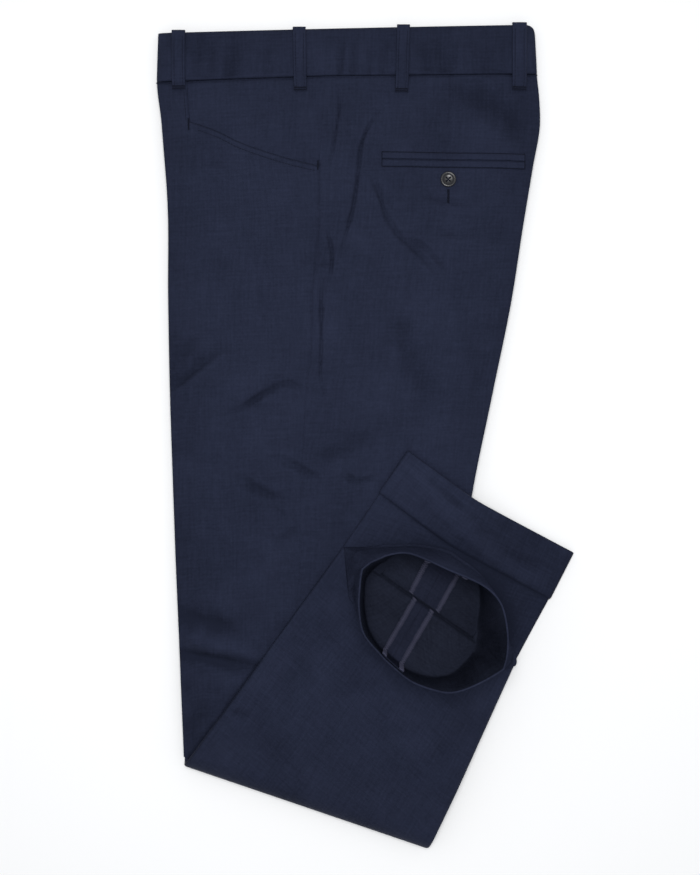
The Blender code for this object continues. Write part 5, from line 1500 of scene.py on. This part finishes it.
def rightLegPoints(kind, row, side, inset, share, depth):
    if kind == "body":
        shift = rightLeg["kneeShift"] * smooth(rightLeg["kneeRow"] - row) * (1.0 - share)
        x, y = bodyPoint(row, side, inset + shift, share)
        distance = np.maximum(fromKnee(x, y), 0.0)
        height, slope = underFold(distance)
        turnX, turnZ = -slope / np.hypot(slope, 1.0), 1.0 / np.hypot(slope, 1.0)
        full = (line(middles, row) - cloth["layerGap"] / 2 - height) / np.maximum(turnZ, 0.5)
        relief = foldHeight(underFolds, x, y) * smooth(distance / rightLeg["kneeRelief"])
        height = height + relief * (1.0 - depth)
    else:
        x, y = legPoint(row, side, inset, share)
        distance = np.maximum(fromKnee(x, y), 0.0)
        relief = foldHeight(legFolds, x, y) + 0.7 * undulation(x + 300.0, y)
        relief = relief * smooth(distance / rightLeg["kneeRelief"])
        height = upperLegEnd(x, y) + relief * smooth(-pastOpening(x, y) / rightLeg["endRelief"])
        slope = (foldTop(distance + rightLeg["step"]) - foldTop(distance)) / rightLeg["step"]
        least = np.where(distance < 14.0, pile["foldSide"], 0.0)
        full = np.maximum(upperLegEnd(x, y) - lowerLegTop(x, y) - cloth["layerGap"], least)
        turnX, turnZ = slope / np.hypot(slope, 1.0), -1.0 / np.hypot(slope, 1.0)
    full = mix(pile["foldSide"], full, smooth(distance / 10.0))
    turnX = np.where(distance < 0.05, 1.0, turnX)
    turnZ = np.where(distance < 0.05, 0.0, turnZ)
    x = x + kneeInward[0] * turnX * depth * full
    y = y + kneeInward[1] * turnX * depth * full
    return points3d(x, y, height + turnZ * depth * full)


def makeRightLeg():
    given = rightLeg
    columns = [(-1, i, 0.0, d) for i, d in smallRoll()]
    columns += [(-1, i, 0.0, 0.0) for i in given["insets"]]
    columns += [(-1, 0.0, s, 0.0) for s in stepped(*given["frontColumns"])]
    columns += [(-1, -i, 1.0, 0.0) for i in given["seamInsets"]]
    seam = len(columns) - 1
    columns += [(1, -i, 1.0, 0.0) for i in given["seamInsets"][-2::-1]]
    columns += [(1, 0.0, s, 0.0) for s in stepped(*given["backColumns"])]
    columns += [(1, i, 0.0, 0.0) for i in reversed(given["insets"])]
    columns += [(1, i, 0.0, d) for i, d in reversed(smallRoll())]
    side, inset, share, depth = columnValues(columns)
    closer = given["kneeRow"] - 0.8 * np.linspace(1.0, 0.0, 22)[:-1] ** given["kneeRows"]
    underRows = np.concatenate((rowsBetween(*given["underRows"])[:-1], closer))[:, None]
    under = rightLegPoints("body", underRows, side, inset, share, depth)
    closer = 0.16 * np.linspace(0.0, 1.0, 26) ** given["kneeRows"]
    topRows = np.concatenate((closer, stepped(*given["topRows"])))[:, None]
    top = rightLegPoints("leg", topRows, side, inset, share, depth)
    lastRow = given["topRows"][1]
    past = -np.array(stepped(24.0, 9.0, 2.0) + stepped(8.0, 1.0, 0.9) + [0.65])[:, None]
    near, far = (pastOpening(*legPoint(row, side, inset, share)) for row in (lastRow, 1.0))
    endRows = lastRow + 0.1 * (past - near) / (far - near)
    endRows = endRows[endRows.min(axis=1) > lastRow]
    outer = np.concatenate((under, top, rightLegPoints("leg", endRows, side, inset, share, depth)), axis=0)
    inner = outer - turned(normalsOf(outer), 1, seam, (0, 0, -1)) * cloth["twill"]
    cut = cutOut(outer, inner, 0, seam, (False, True))
    piece = shell("rightFrontPanel", *cut, navy, paintedShadeOf=legPaintedShade)
    dress(piece, "right_front", "navy_twill", flat=(0.17, 1.0), held="folded", area=gridArea(cut[0]))
    cut = cutOut(outer, inner, seam, outer.shape[1] - 1, (True, False))
    piece = shell("rightBackPanel", *cut, navy, paintedShadeOf=legPaintedShade)
    dress(piece, "right_back", "navy_twill", flat=(0.24, 1.0), held="folded", area=gridArea(cut[0]))


# pressed-in folds of the left leg's turn-up
cuffFolds = [
    (((44, -30), (74, -66), (112, -106), (150, -130), (178, -146)), 8, 6, 1.1, -0.6),
    (((58, -36), (84, -62), (100, -80)), 4, 5, -0.4, 0.4),
    (((112, -96), (140, -116), (176, -128)), 6, 8, -0.45, 0.4),
    (((36, -24), (66, -52), (98, -78), (120, -92)), 2.2, 2.6, 0.42, -0.2),
    (((70, -44), (104, -70), (134, -94)), 2.0, 2.4, 0.36, -0.2),
]


# the folded-up left leg: a flat tube of rows and columns, each as first, last, step
lowerLeg = {
    "seamInsets": (0.0, 0.8, 1.6, 2.6),
    "frontColumns": (0.955, 0.1, 0.034),
    "backColumns": (0.965, 0.09, 0.027),
    "edgeAngles": (8, 20, 32, 44, 56, 68, 79, 90),
    "edgeInset": 6.0,
    "rows": ((0.08, 0.8, 0.03), (0.82, 2.0, 0.036), (2.045, 2.965, 0.046)),
    "cuffRow": 2.0,
    "bed": 0.1,
    "bedFrom": (1.55, 0.35),  # row, span
    "reliefFrom": (1.1, 0.3),
    "seamDeep": 0.12,
    "seamWide": 1.2,
    "cuffDip": 0.7,
    "cuffDipSpan": 0.08,
    "seamShadowSpan": 0.03,
}


def tubeEdge():
    angles = [math.radians(angle) for angle in lowerLeg["edgeAngles"]]
    return [(lowerLeg["edgeInset"] * (1 - math.sin(a)) ** 1.5, math.cos(a) ** 0.8) for a in angles]


def lowerLegColumns():
    halves = []
    for side, shares in ((-1, lowerLeg["frontColumns"]), (1, lowerLeg["backColumns"])):
        half = [(side, -i, 1.0, 1.0) for i in lowerLeg["seamInsets"]]
        half += [(side, 0.0, s, 1.0) for s in stepped(*shares)]
        halves.append(half + [(side, i, 0.0, lv) for i, lv in tubeEdge()])
    front, back = halves
    front = front + [(a, b, c, -d) for a, b, c, d in reversed(front[:-1])]
    back = [(a, b, c, -d) for a, b, c, d in back[:-1]] + list(reversed(back))
    return front + back[1:-1], len(front) - 1


# distance from the leg's seam
def legPointDistance(rows, side, inset, share):
    read = readRows(legRows, rows)
    width = np.linalg.norm(read[..., 2:4] - read[..., 0:2], axis=-1)
    seamAt = line(legSeam, rows)
    half = np.where(side < 0, seamAt, 1.0 - seamAt) * width
    return (1.0 - share) * half - inset


def makeLeftLower():
    given = lowerLeg
    columns, bottomSeam = lowerLegColumns()
    side, inset, share, level = columnValues(columns)
    rows = np.array(sum((stepped(*part) for part in given["rows"]), []))[:, None]
    first = int(np.argmin(np.abs(rows - given["cuffRow"])))
    rows[first] = given["cuffRow"]
    x, y = legPoint(rows, side, inset, share)
    bedRow, bedSpan = given["bedFrom"]
    low = legBed(x, y) + (cloth["twill"] + 2 * cloth["layerGap"] + given["bed"]) * smooth((rows - bedRow) / bedSpan)
    high = lowerLegTop(x, y)
    reliefRow, reliefSpan = given["reliefFrom"]
    shown = smooth((rows - reliefRow) / reliefSpan)
    relief = (foldHeight(cuffFolds, x, y) + 0.6 * undulation(x + 90.0, y + 300.0)) * shown
    away = np.abs(legPointDistance(rows, side, inset, share))
    relief = relief - given["seamDeep"] * trench(away, given["seamWide"]) * shown
    span = given["cuffDipSpan"]
    relief = relief - given["cuffDip"] * smooth((rows - 1.9) / span) * smooth((2.08 - rows) / span)
    outer = points3d(x, y, (low + high) / 2 + level * (high - low) / 2 + relief * smooth((level - 0.6) / 0.4))
    normals = turned(normalsOf(outer, True), 5, 0, (0, 0, 1))
    inner = outer - normals * cloth["twill"]
    cut = cutOut(outer, inner, 0, bottomSeam)
    # painted shadow along the seam under the turn-up's sewn edge
    seamPaintedShadow = -paintedShades["seam"] * trench(rows - given["cuffRow"], given["seamShadowSpan"])
    piece = shell("leftLowerFrontPanel", *cut, navy, paintedShadeOf=cuffPaintedShade, rowPaintedShade=seamPaintedShadow)
    dress(piece, "left_front_lower", "navy_twill", flat=(0.26, 0.42), held="folded", rests_on=["left_front"],
          area=gridArea(cut[0]))
    cut = cutOut(outer, inner, bottomSeam, len(columns))
    piece = shell("leftLowerBackPanel", *cut, navy, paintedShadeOf=cuffPaintedShade, rowPaintedShade=seamPaintedShadow)
    dress(piece, "left_back_lower", "navy_twill", flat=(0.30, 0.42), held="folded", rests_on=["left_back"],
          area=gridArea(cut[0]))
    onward = outer[-1] - outer[-2]
    makeTurnUp("leftTurnUp", "left_cuff", outer[first:], normals[first:], -normals[-1], onward, navy, paintedShadeOf=cuffPaintedShade)


turnUp = {
    "edge": 0.35,  # share of the thickness at the sewn edge
    "round": 1.6,
    "thinRun": 14.0,
    "lip": 1.5,
    "lipThin": 1.2,
    "middle": 0.12,  # where the lip's round has its middle
    "start": 0.3,
    "lining": (0.3, 0.25, 0.15),  # out, onward, round
    "angles": (15.0, 165.0, 9),
    "mostArea": 0.021,
}


# band on the outside of a tube's end, rolled over the end and a little way inside
def makeTurnUp(name, node, wall, normals, inward, onward, finish, thin=0.0, paintedShadeOf=None):
    inward = inward / np.linalg.norm(inward, axis=1, keepdims=True)
    onward = onward / np.linalg.norm(onward, axis=1, keepdims=True)
    thick, gap, middle, edge = cloth["twill"], cloth["layerGap"], turnUp["middle"], turnUp["edge"]
    run = np.concatenate(([0.0], np.cumsum(np.linalg.norm(np.diff(wall, axis=0), axis=2).mean(axis=1))))
    thinner = thin * smooth((run - run[-1] + turnUp["thinRun"]) / turnUp["thinRun"])
    rounding = (edge + (1.0 - edge) * bulge(run / turnUp["round"]) - thinner)[:, None, None]
    lip = turnUp["lip"] - turnUp["lipThin"] * thin
    outer = list(wall + normals * (gap + thick * rounding))
    inner = list(wall + normals * gap)
    layers = ((outer, lip - middle, turnUp["start"], lip), (inner, *turnUp["lining"]))
    for angle in np.linspace(*turnUp["angles"]):
        a = math.radians(angle)
        for layer, reach, start, rise in layers:
            out = middle + reach * math.cos(a)
            away = normals[-1] if out > 0 else -inward
            layer.append(wall[-1] + away * out + onward * (start + rise * math.sin(a)))
    # painted shadow along the turn-up's sewn edge
    rowPaintedShade = None if paintedShadeOf is None else -paintedShades["seam"] * (np.arange(len(outer)) == 0)[:, None]
    piece = shell(name, np.array(outer), np.array(inner), finish, closed=True, paintedShadeOf=paintedShadeOf, rowPaintedShade=rowPaintedShade)
    area = gridArea(np.array(outer), True)
    dress(piece, node, "navy_twill", flat=(0.05, 0.42), held="folded", area=min(area, turnUp["mostArea"]))


# the layer between the two folded-up legs
innerLeg = {"rows": (0.08, 0.95, 0.03), "edge": 6.0, "back": (0.1, 1.0, 0.06), "front": (0.94, 0.1, 0.06)}


def makeRightInner():
    rows = np.array(stepped(*innerLeg["rows"]))[:, None]
    columns = [(1, innerLeg["edge"], 0.0)] + [(1, 0.0, s) for s in stepped(*innerLeg["back"])]
    columns += [(-1, 0.0, s) for s in stepped(*innerLeg["front"])] + [(-1, innerLeg["edge"], 0.0)]
    x, y = legPoint(rows, *columnValues(columns))
    inner = points3d(x, y, lowerLegTop(x, y) + cloth["layerGap"])
    outer = inner + np.array((0.0, 0.0, cloth["twill"]))
    piece = shell("rightInnerPanel", outer, inner, navyInside)
    dress(piece, "right_inner_lower", "navy_twill_inside", flat=(0.26, 0.30), held="folded",
          rests_on=["left_front_lower"], area=gridArea(outer))


# the opened end: s runs along the line where it opens, p across it, away from the leg
opening = {
    "slit": 0.04,
    "slitShift": (7.8, -2.4),
    "slitMiddle": (91.0, 26.0),
    "slitStart": 45.5,
    "slitEnd": 152.5,
    "fan": 0.12,
    "height": 74.0,
    "lean": 0.10,
    "earLean": 2.4,
    "earRun": (14.0, 34.0),
    "overhang": 2.0,
    "overhangFrom": (6.0, 30.0),
    "overhangAt": (3.6, 2.2),
    "fillet": 14,  # rounds of smoothing where the floor turns up into the wall
    "rimThin": 0.42,
    "lift": 1.0,
    "bedSpan": 14.0,
    "cuffStart": 0.3,
    "floorRows": (0.0, 0.5, 1.1, 1.9, 3.0, 4.6),
    "tuck": (-0.9, -0.7, -0.35, 0.0),
    "wallRows": [0.012, 0.026, 0.042, 0.06, 0.085],
    "foldSpan": 0.32,
    "perRow": 10,  # stations to one row of the table
}
# whether the run to the next row is straight, then s and p of the rim, of the outer foot and of the inner foot
openingRows = (
    (0, 85.5, 42.9, 88.5, 54.9, 88.0, 52.5),
    (0, 62.0, 38.5, 62.0, 44.6, 63.0, 41.8),
    (0, 46.0, 33.0, 42.0, 30.6, 50.0, 31.0),
    (1, 33.0, 20.5, 22.0, 15.3, 42.5, 19.0),
    (1, 25.5, 8.0, 0.5, 0.3, 37.5, 6.0),
    (1, 23.0, -1.0, 29.0, -33.0, 34.5, -8.0),
    (0, 31.0, -17.0, 38.0, -38.0, 40.0, -22.0),
    (0, 41.6, -33.0, 49.0, -43.0, 50.5, -36.0),
    (0, 57.8, -48.5, 64.0, -52.0, 65.5, -49.8),
    (0, 80.0, -55.0, 81.0, -59.0, 81.3, -57.0),
    (0, 94.0, -57.5, 99.5, -61.9, 99.5, -59.9),
    (0, 117.0, -59.0, 120.0, -61.7, 119.5, -59.7),
    (0, 139.0, -53.5, 142.0, -54.5, 140.5, -52.4),
    (0, 155.0, -45.0, 158.0, -45.0, 153.0, -41.5),
    (0, 169.0, -26.0, 168.0, -37.0, 158.5, -25.0),
    (1, 180.5, -2.0, 175.0, -31.0, 160.0, -8.0),
    (1, 178.0, 6.0, 203.0, 0.3, 155.5, 4.0),
    (0, 170.0, 20.0, 180.0, 18.0, 148.5, 15.0),
    (0, 156.0, 36.0, 154.0, 37.0, 141.0, 29.0),
    (0, 141.0, 46.5, 137.0, 48.5, 131.0, 42.5),
    (0, 120.0, 49.5, 118.0, 54.0, 117.0, 51.6),
)
outseamRow = 10
# painted shade of a sharp crease of the opened end's ear, colour alone
earCreasePaintedShade = [
    (((-17, -157), (-16, -151), (-10, -140), (-3, -128), (6, -118)), 1.5, 2.6, -1.9, 0.0),
    (((-23, -106), (-20, -122), (-18, -138), (-17, -152)), 1.6, 1.6, -1.0, 0.0),
]


def openingStations():
    table = np.array([r[1:] for r in openingRows], float)
    count, per = len(table), opening["perRow"]
    stations = []
    for i in range(count):
        before, here, after, later = (table[(i + k) % count] for k in (-1, 0, 1, 2))
        straight = openingRows[i][0] and openingRows[(i + 1) % count][0]
        for step in range(per):
            u = step / per
            pull = after - before
            bend = 2 * before - 5 * here + 4 * after - later
            twist = 3 * here - before - 3 * after + later
            rounded = here + 0.5 * (pull * u + bend * u ** 2 + twist * u ** 3)
            stations.append(mix(here, after, u) if straight else rounded)
    return np.array(stations)


def openingBed(s, p):
    slit = opening["slit"]
    x, y = openPoint(s, p)
    low = lowerLegTop(x, y)
    high = upperLegEnd(*openPoint(s, -slit + 0.0 * p))
    inSlit = (s >= opening["slitStart"]) & (s <= opening["slitEnd"])
    within = np.where(p < slit, mix(high, low, (p + slit) / (2 * slit)), low)
    beside = np.maximum(low, mix(high, low, smooth((p - slit) / opening["bedSpan"])))
    return np.where(p <= -slit, upperLegEnd(x, y), np.where(inSlit, within, beside)) + opening["lift"]


# a plain wall bellies out; an ear lies low first and then stands up
def wallLean(share, run):
    plain = share - opening["lean"] * np.sin(math.pi * share)
    ear = 1.0 - (1.0 - share) ** opening["earLean"]
    first, last = opening["earRun"]
    return mix(plain, ear, smooth((run - first) / (last - first)))


# uprights pressed into the walls: row of the table, half width in rows, depth, share of the height where strongest
wallFolds = (
    (0.7, 0.4, -0.9, 0.4), (20.6, 0.3, -1.2, 0.2), (3.4, 0.22, -1.6, 0.35), (5.0, 0.13, -1.9, 0.45),
    (4.5, 0.3, 1.4, 0.5), (6.2, 0.3, -1.2, 0.3), (12.6, 0.3, -1.6, 0.35), (13.7, 0.35, 1.8, 0.6),
    (14.6, 0.22, -2.0, 0.4), (15.4, 0.2, 1.2, 0.5), (17.3, 0.4, -1.2, 0.4), (18.6, 0.35, -1.0, 0.5),
)


# from the slit over the floor to the wall's foot
def openingFloor(slitS, slitP, farS, farP, rise):
    reach = np.maximum(np.abs(farP) - opening["slit"], 1.0)
    near = [np.minimum(d / reach, 0.1 + 0.04 * d) for d in opening["floorRows"]]
    shares = near + [mix(near[-1], 1.0, t) for t in np.linspace(0.0, 1.0, 17)[1:]]
    rows = []
    for k, share in enumerate(shares):
        s, p = mix(slitS, farS, share), mix(slitP, farP, share)
        rows.append(points3d(*openPoint(s, p), openingBed(s, p) + rise + opening["tuck"][min(k, 3)]))
    return rows


def openingGrids():
    stations = openingStations()
    rimS, rimP, footS, footP, inS, inP = stations.T
    fan = opening["fan"] * np.abs(inP)
    slitS = mix(rimS, inS, 0.5)
    middle, spread = opening["slitMiddle"]
    slitS = slitS + np.where(inP > 0, *opening["slitShift"]) * trench(slitS - middle, spread)
    slitS = np.clip(slitS, opening["slitStart"] + fan, opening["slitEnd"] - fan)
    slitP = np.clip(inP * opening["fan"] / 2, -opening["slit"], opening["slit"])
    steps = np.array(opening["wallRows"] + stepped(0.12, 0.30, 0.03) + stepped(0.30, 1.0, 0.03)[1:])
    count = len(steps)
    rimZ = lowerLegTop(*openPoint(mix(rimS, 100.0, 0.35), rimP * 0.65)) + opening["height"]
    rimX, rimY = openPoint(rimS, rimP)
    grids = []
    for farS, farP, rise in ((footS, footP, 0.0), (inS, inP, cloth["twill"])):
        rows = openingFloor(slitS, slitP, farS, farP, rise)
        footX, footY, footZ = rows[-1].T
        run = np.hypot(rimX - footX, rimY - footY)
        for share in steps:
            lean = wallLean(share, run)
            rows.append(points3d(mix(footX, rimX, lean), mix(footY, rimY, lean), mix(footZ, rimZ, share)))
        grids.append(np.array(rows))
    outer, inner = grids
    around = np.roll(outer[-1], -1, axis=0) - np.roll(outer[-1], 1, axis=0)
    inward = np.column_stack((around[:, 1], -around[:, 0], np.zeros(len(around))))
    inward /= np.linalg.norm(inward, axis=1, keepdims=True)
    if inward[0] @ (outer[-1].mean(axis=0) - outer[-1, 0]) < 0:
        inward = -inward
    index = np.arange(len(stations)) / opening["perRow"]
    first, span = opening["overhangFrom"]
    overhang = opening["overhang"] * smooth((footS - first) / span)
    level, tall = opening["overhangAt"]
    for row, share in enumerate(steps, -count):
        thin = 1.0 - opening["rimThin"] * smooth((share - 0.8) / 0.2)
        inner[row] += inward * cloth["twill"] * wallLean(share, 0.0) * thin
        push = np.zeros(len(stations))
        for at, wide, deep, strongest in wallFolds:
            fade = trench(share - strongest, opening["foldSpan"]) * smooth((1.0 - share) / 0.2)
            push += deep * trench(index - at, wide) * fade
        outer[row] -= inward * push[:, None]
        inner[row] -= inward * push[:, None]
        outer[row] -= inward * (overhang * trench(share * opening["height"] - level, tall))[:, None]
    first, last = -count - 6, -count + 8
    for _ in range(opening["fillet"]):
        inner[first:last] = (inner[first - 1 : last - 1] + 2 * inner[first:last] + inner[first + 1 : last + 1]) / 4
    return outer, inner, inward, int(np.argmin(np.abs(steps - opening["cuffStart"]))) - count


def makeOpening():
    outer, inner, inward, cuffRow = openingGrids()
    outseam = outseamRow * opening["perRow"]
    count = len(openingRows) * opening["perRow"]
    cut = cutOut(outer, inner, 0, outseam)
    piece = shell("rightFrontOpening", *cut, navyWallPaintedLighter, lining=navyInside, paintedShadeOf=openingPaintedShade)
    dress(piece, "right_front_end", "navy_twill", flat=(0.21, 0.13), held="folded", rests_on=["left_front_lower"],
          area=0.5 * (gridArea(cut[0]) + gridArea(cut[1])))
    cut = cutOut(outer, inner, outseam, count)
    piece = shell("rightBackOpening", *cut, navyWallPaintedLighter, lining=navyInside, paintedShadeOf=openingPaintedShade)
    dress(piece, "right_back_end", "navy_twill", flat=(0.23, 0.13), held="folded", rests_on=["left_back_lower"],
          area=0.5 * (gridArea(cut[0]) + gridArea(cut[1])))
    normals = turned(normalsOf(outer, True), -2, 0, -inward[0])
    makeTurnUp("rightTurnUp", "right_cuff", outer[cuffRow:], normals[cuffRow:], inward, outer[-1] - outer[-2],
               navyWallPaintedLighter, opening["rimThin"])
    facing = turned(normalsOf(inner, True), -2, 0, inward[0])
    makeAllowances(inner, facing, outseam, count)


# seam allowances pressed open inside, each with its serged edge, from the tuck in the floor up the wall to the rim
allowance = {
    "first": 3,  # rows left out at the slit and at the rim
    "short": 3,
    "lift": 0.45,
    "thick": 0.7,
    "curl": 0.35,
    "start": 0.12,
    "inseam": (17.8, 20.7),  # width at the foot and at the rim
    "outseam": (12.4, 12.8),
    "columns": 11,
    "stations": 16,
    "wander": (0.35, 11.0, 41),
    "serged": 4.6,
    "pitch": 1.0,
    "tilt": 0.3,
}


def makeAllowances(inner, facing, outseam, count):
    given = allowance
    columns = given["columns"]
    levels = np.arange(given["first"], inner.shape[0] - given["short"])
    for node, name, seam, step, reach in (
        ("inseam_allowance_front", "inseamAllowanceFront", 0, 1, given["inseam"]),
        ("inseam_allowance_back", "inseamAllowanceBack", 0, -1, given["inseam"]),
        ("outseam_allowance_front", "outseamAllowanceFront", outseam, -1, given["outseam"]),
        ("outseam_allowance_back", "outseamAllowanceBack", outseam, 1, given["outseam"]),
    ):
        beside = np.ix_(levels, (seam + step * np.arange(given["stations"])) % count)
        full, lifts = inner[beside], facing[beside]
        away = [pathLengths(row) for row in full]
        high, size, seed = given["wander"]
        wide = np.linspace(*reach, len(levels)) + bumps(levels * 3.0, 7.0 + 0.0 * levels, (high, size, seed + step))
        wants = [np.minimum(np.linspace(given["start"], w, columns), a[-1] * 0.96) for w, a in zip(wide, away)]
        strip = np.array([sample(*row) for row in zip(wants, away, full)])
        lift = np.array([sample(*row) for row in zip(wants, away, lifts)])
        lift /= np.linalg.norm(lift, axis=2, keepdims=True)
        curl = given["curl"] * np.linspace(0.0, 1.0, columns)[None, :, None] ** 3
        top = strip + lift * (given["lift"] + given["thick"] + curl)
        edge = mix(top[:, -1], top[:, -2], given["serged"] / 2 * (columns - 1) / wide[:, None])
        runs = [stitchRun(edge, given["pitch"], up=lift[:, -1], across=True, lean=given["tilt"])]
        edging = makeStitches(name + "Serging", runs, serging, length=given["serged"], width=0.9, arch=0.35,
                              uneven=0.2, seed=7, slotName="seam_allowance")
        piece = shell(name, top, strip + lift * given["lift"], pressedOpen)
        dress(piece, node, "seam_allowance", flat=(0.018, 0.16), held="folded", rests_on=["right_front_end"],
              area=gridArea(strip), with_pieces=[edging])


# the layers that nothing shows, as one rounded filling
filling = {
    "rows": (0.2, 15.4, 9.0),
    "front": (0.24, 1.0, 0.08),
    "back": (0.93, 0.22, 0.07),
    "inset": 6.6,
    "round": 14.4,
    "edge": 0.9,  # half the thickness at its edge
    "floor": 3.6,
    "cover": 6.2,
}


def makeHidden():
    given = filling
    rows = rowsBetween(*given["rows"])[:, None]
    angles = [math.radians(angle) for angle in range(0, 91, 10)]
    edge = [(given["inset"] + given["round"] * (1 - math.cos(a)), math.sin(a) ** 0.8) for a in angles]
    columns = [(-1, i, 0.0, f) for i, f in edge] + [(-1, 0.0, s, 1.0) for s in stepped(*given["front"])]
    columns += [(1, 0.0, s, 1.0) for s in stepped(*given["back"])] + [(1, i, 0.0, f) for i, f in reversed(edge)]
    side, inset, share, full = columnValues(columns)
    x, y = bodyPoint(rows, side, inset, share)
    middle = line(middles, rows)
    outer = points3d(x, y, mix(middle + given["edge"], bodyTop(x, y) - given["cover"], full))
    inner = points3d(x, y, mix(middle - given["edge"], given["floor"], full))
    piece = shell("innerLayers", outer, inner, navyInside)
    dress(piece, "hidden_layers", "navy_twill_inside", flat=(0.36, 0.72), held="folded", area=gridArea(outer))


view = {"height": 1300.0, "x": -15.15, "y": -2.08, "frame": 857.5, "sensor": 36.0, "clip": (0.05, 20.0)}
# table, sky and lamp, with sizes in metres
stage = {
    "reach": 6.0,
    "level": -0.0004,
    "paper": (0.93, 0.93, 0.93, 1.0),
    "paperRough": 0.9,
    "sky": (0.95, 0.97, 1.0, 1.0),
    "skyStrength": 0.55,
    "softboxAt": (-0.03, 0.12, 1.6),
    "softboxSize": 0.55,
    "softboxPower": 17.0,
}


def makeStage():
    floorMesh = bpy.data.meshes.new("tabletop")
    reach, level = stage["reach"], stage["level"]
    corners = [(-reach, -reach, level), (reach, -reach, level), (reach, reach, level), (-reach, reach, level)]
    floorMesh.from_pydata(corners, [], [(0, 1, 2, 3)])
    paper = bpy.data.materials.new("pale tabletop")
    paper.use_nodes = True
    shader = paper.node_tree.nodes["Principled BSDF"]
    shader.inputs["Base Color"].default_value = stage["paper"]
    shader.inputs["Roughness"].default_value = stage["paperRough"]
    floorMesh.materials.append(paper)
    addObject("tabletop", floorMesh)

    world = bpy.data.worlds.new("studio")
    world.use_nodes = True
    sky = world.node_tree.nodes["Background"].inputs
    sky["Color"].default_value = stage["sky"]
    sky["Strength"].default_value = stage["skyStrength"]
    bpy.context.scene.world = world

    light = bpy.data.lights.new("overhead softbox", "AREA")
    light.shape = "SQUARE"
    light.size = stage["softboxSize"]
    light.energy = stage["softboxPower"]
    lamp = addObject("overhead softbox", light)
    lamp.location = stage["softboxAt"]
    lamp.rotation_euler = (-Vector(stage["softboxAt"])).to_track_quat("-Z", "Y").to_euler()

    data = bpy.data.cameras.new("camera")
    data.sensor_width = view["sensor"]
    data.lens = view["sensor"] * view["height"] / view["frame"]
    data.clip_start, data.clip_end = view["clip"]
    camera = addObject("camera", data)
    camera.location = (view["x"] * mm, view["y"] * mm, view["height"] * mm)
    bpy.context.scene.camera = camera
    bpy.context.scene.view_settings.view_transform = "Standard"


makeStage()
print("stage, light and camera made")
makeThigh()
makeBearer()
makeWelts()
makeButton()
print("upper thigh made")
makeBands()
makeLoops()
print("waist made")
makeRightLeg()
makeLeftLower()
makeRightInner()
print("legs made")
makeOpening()
makeHidden()
print("opened end made")
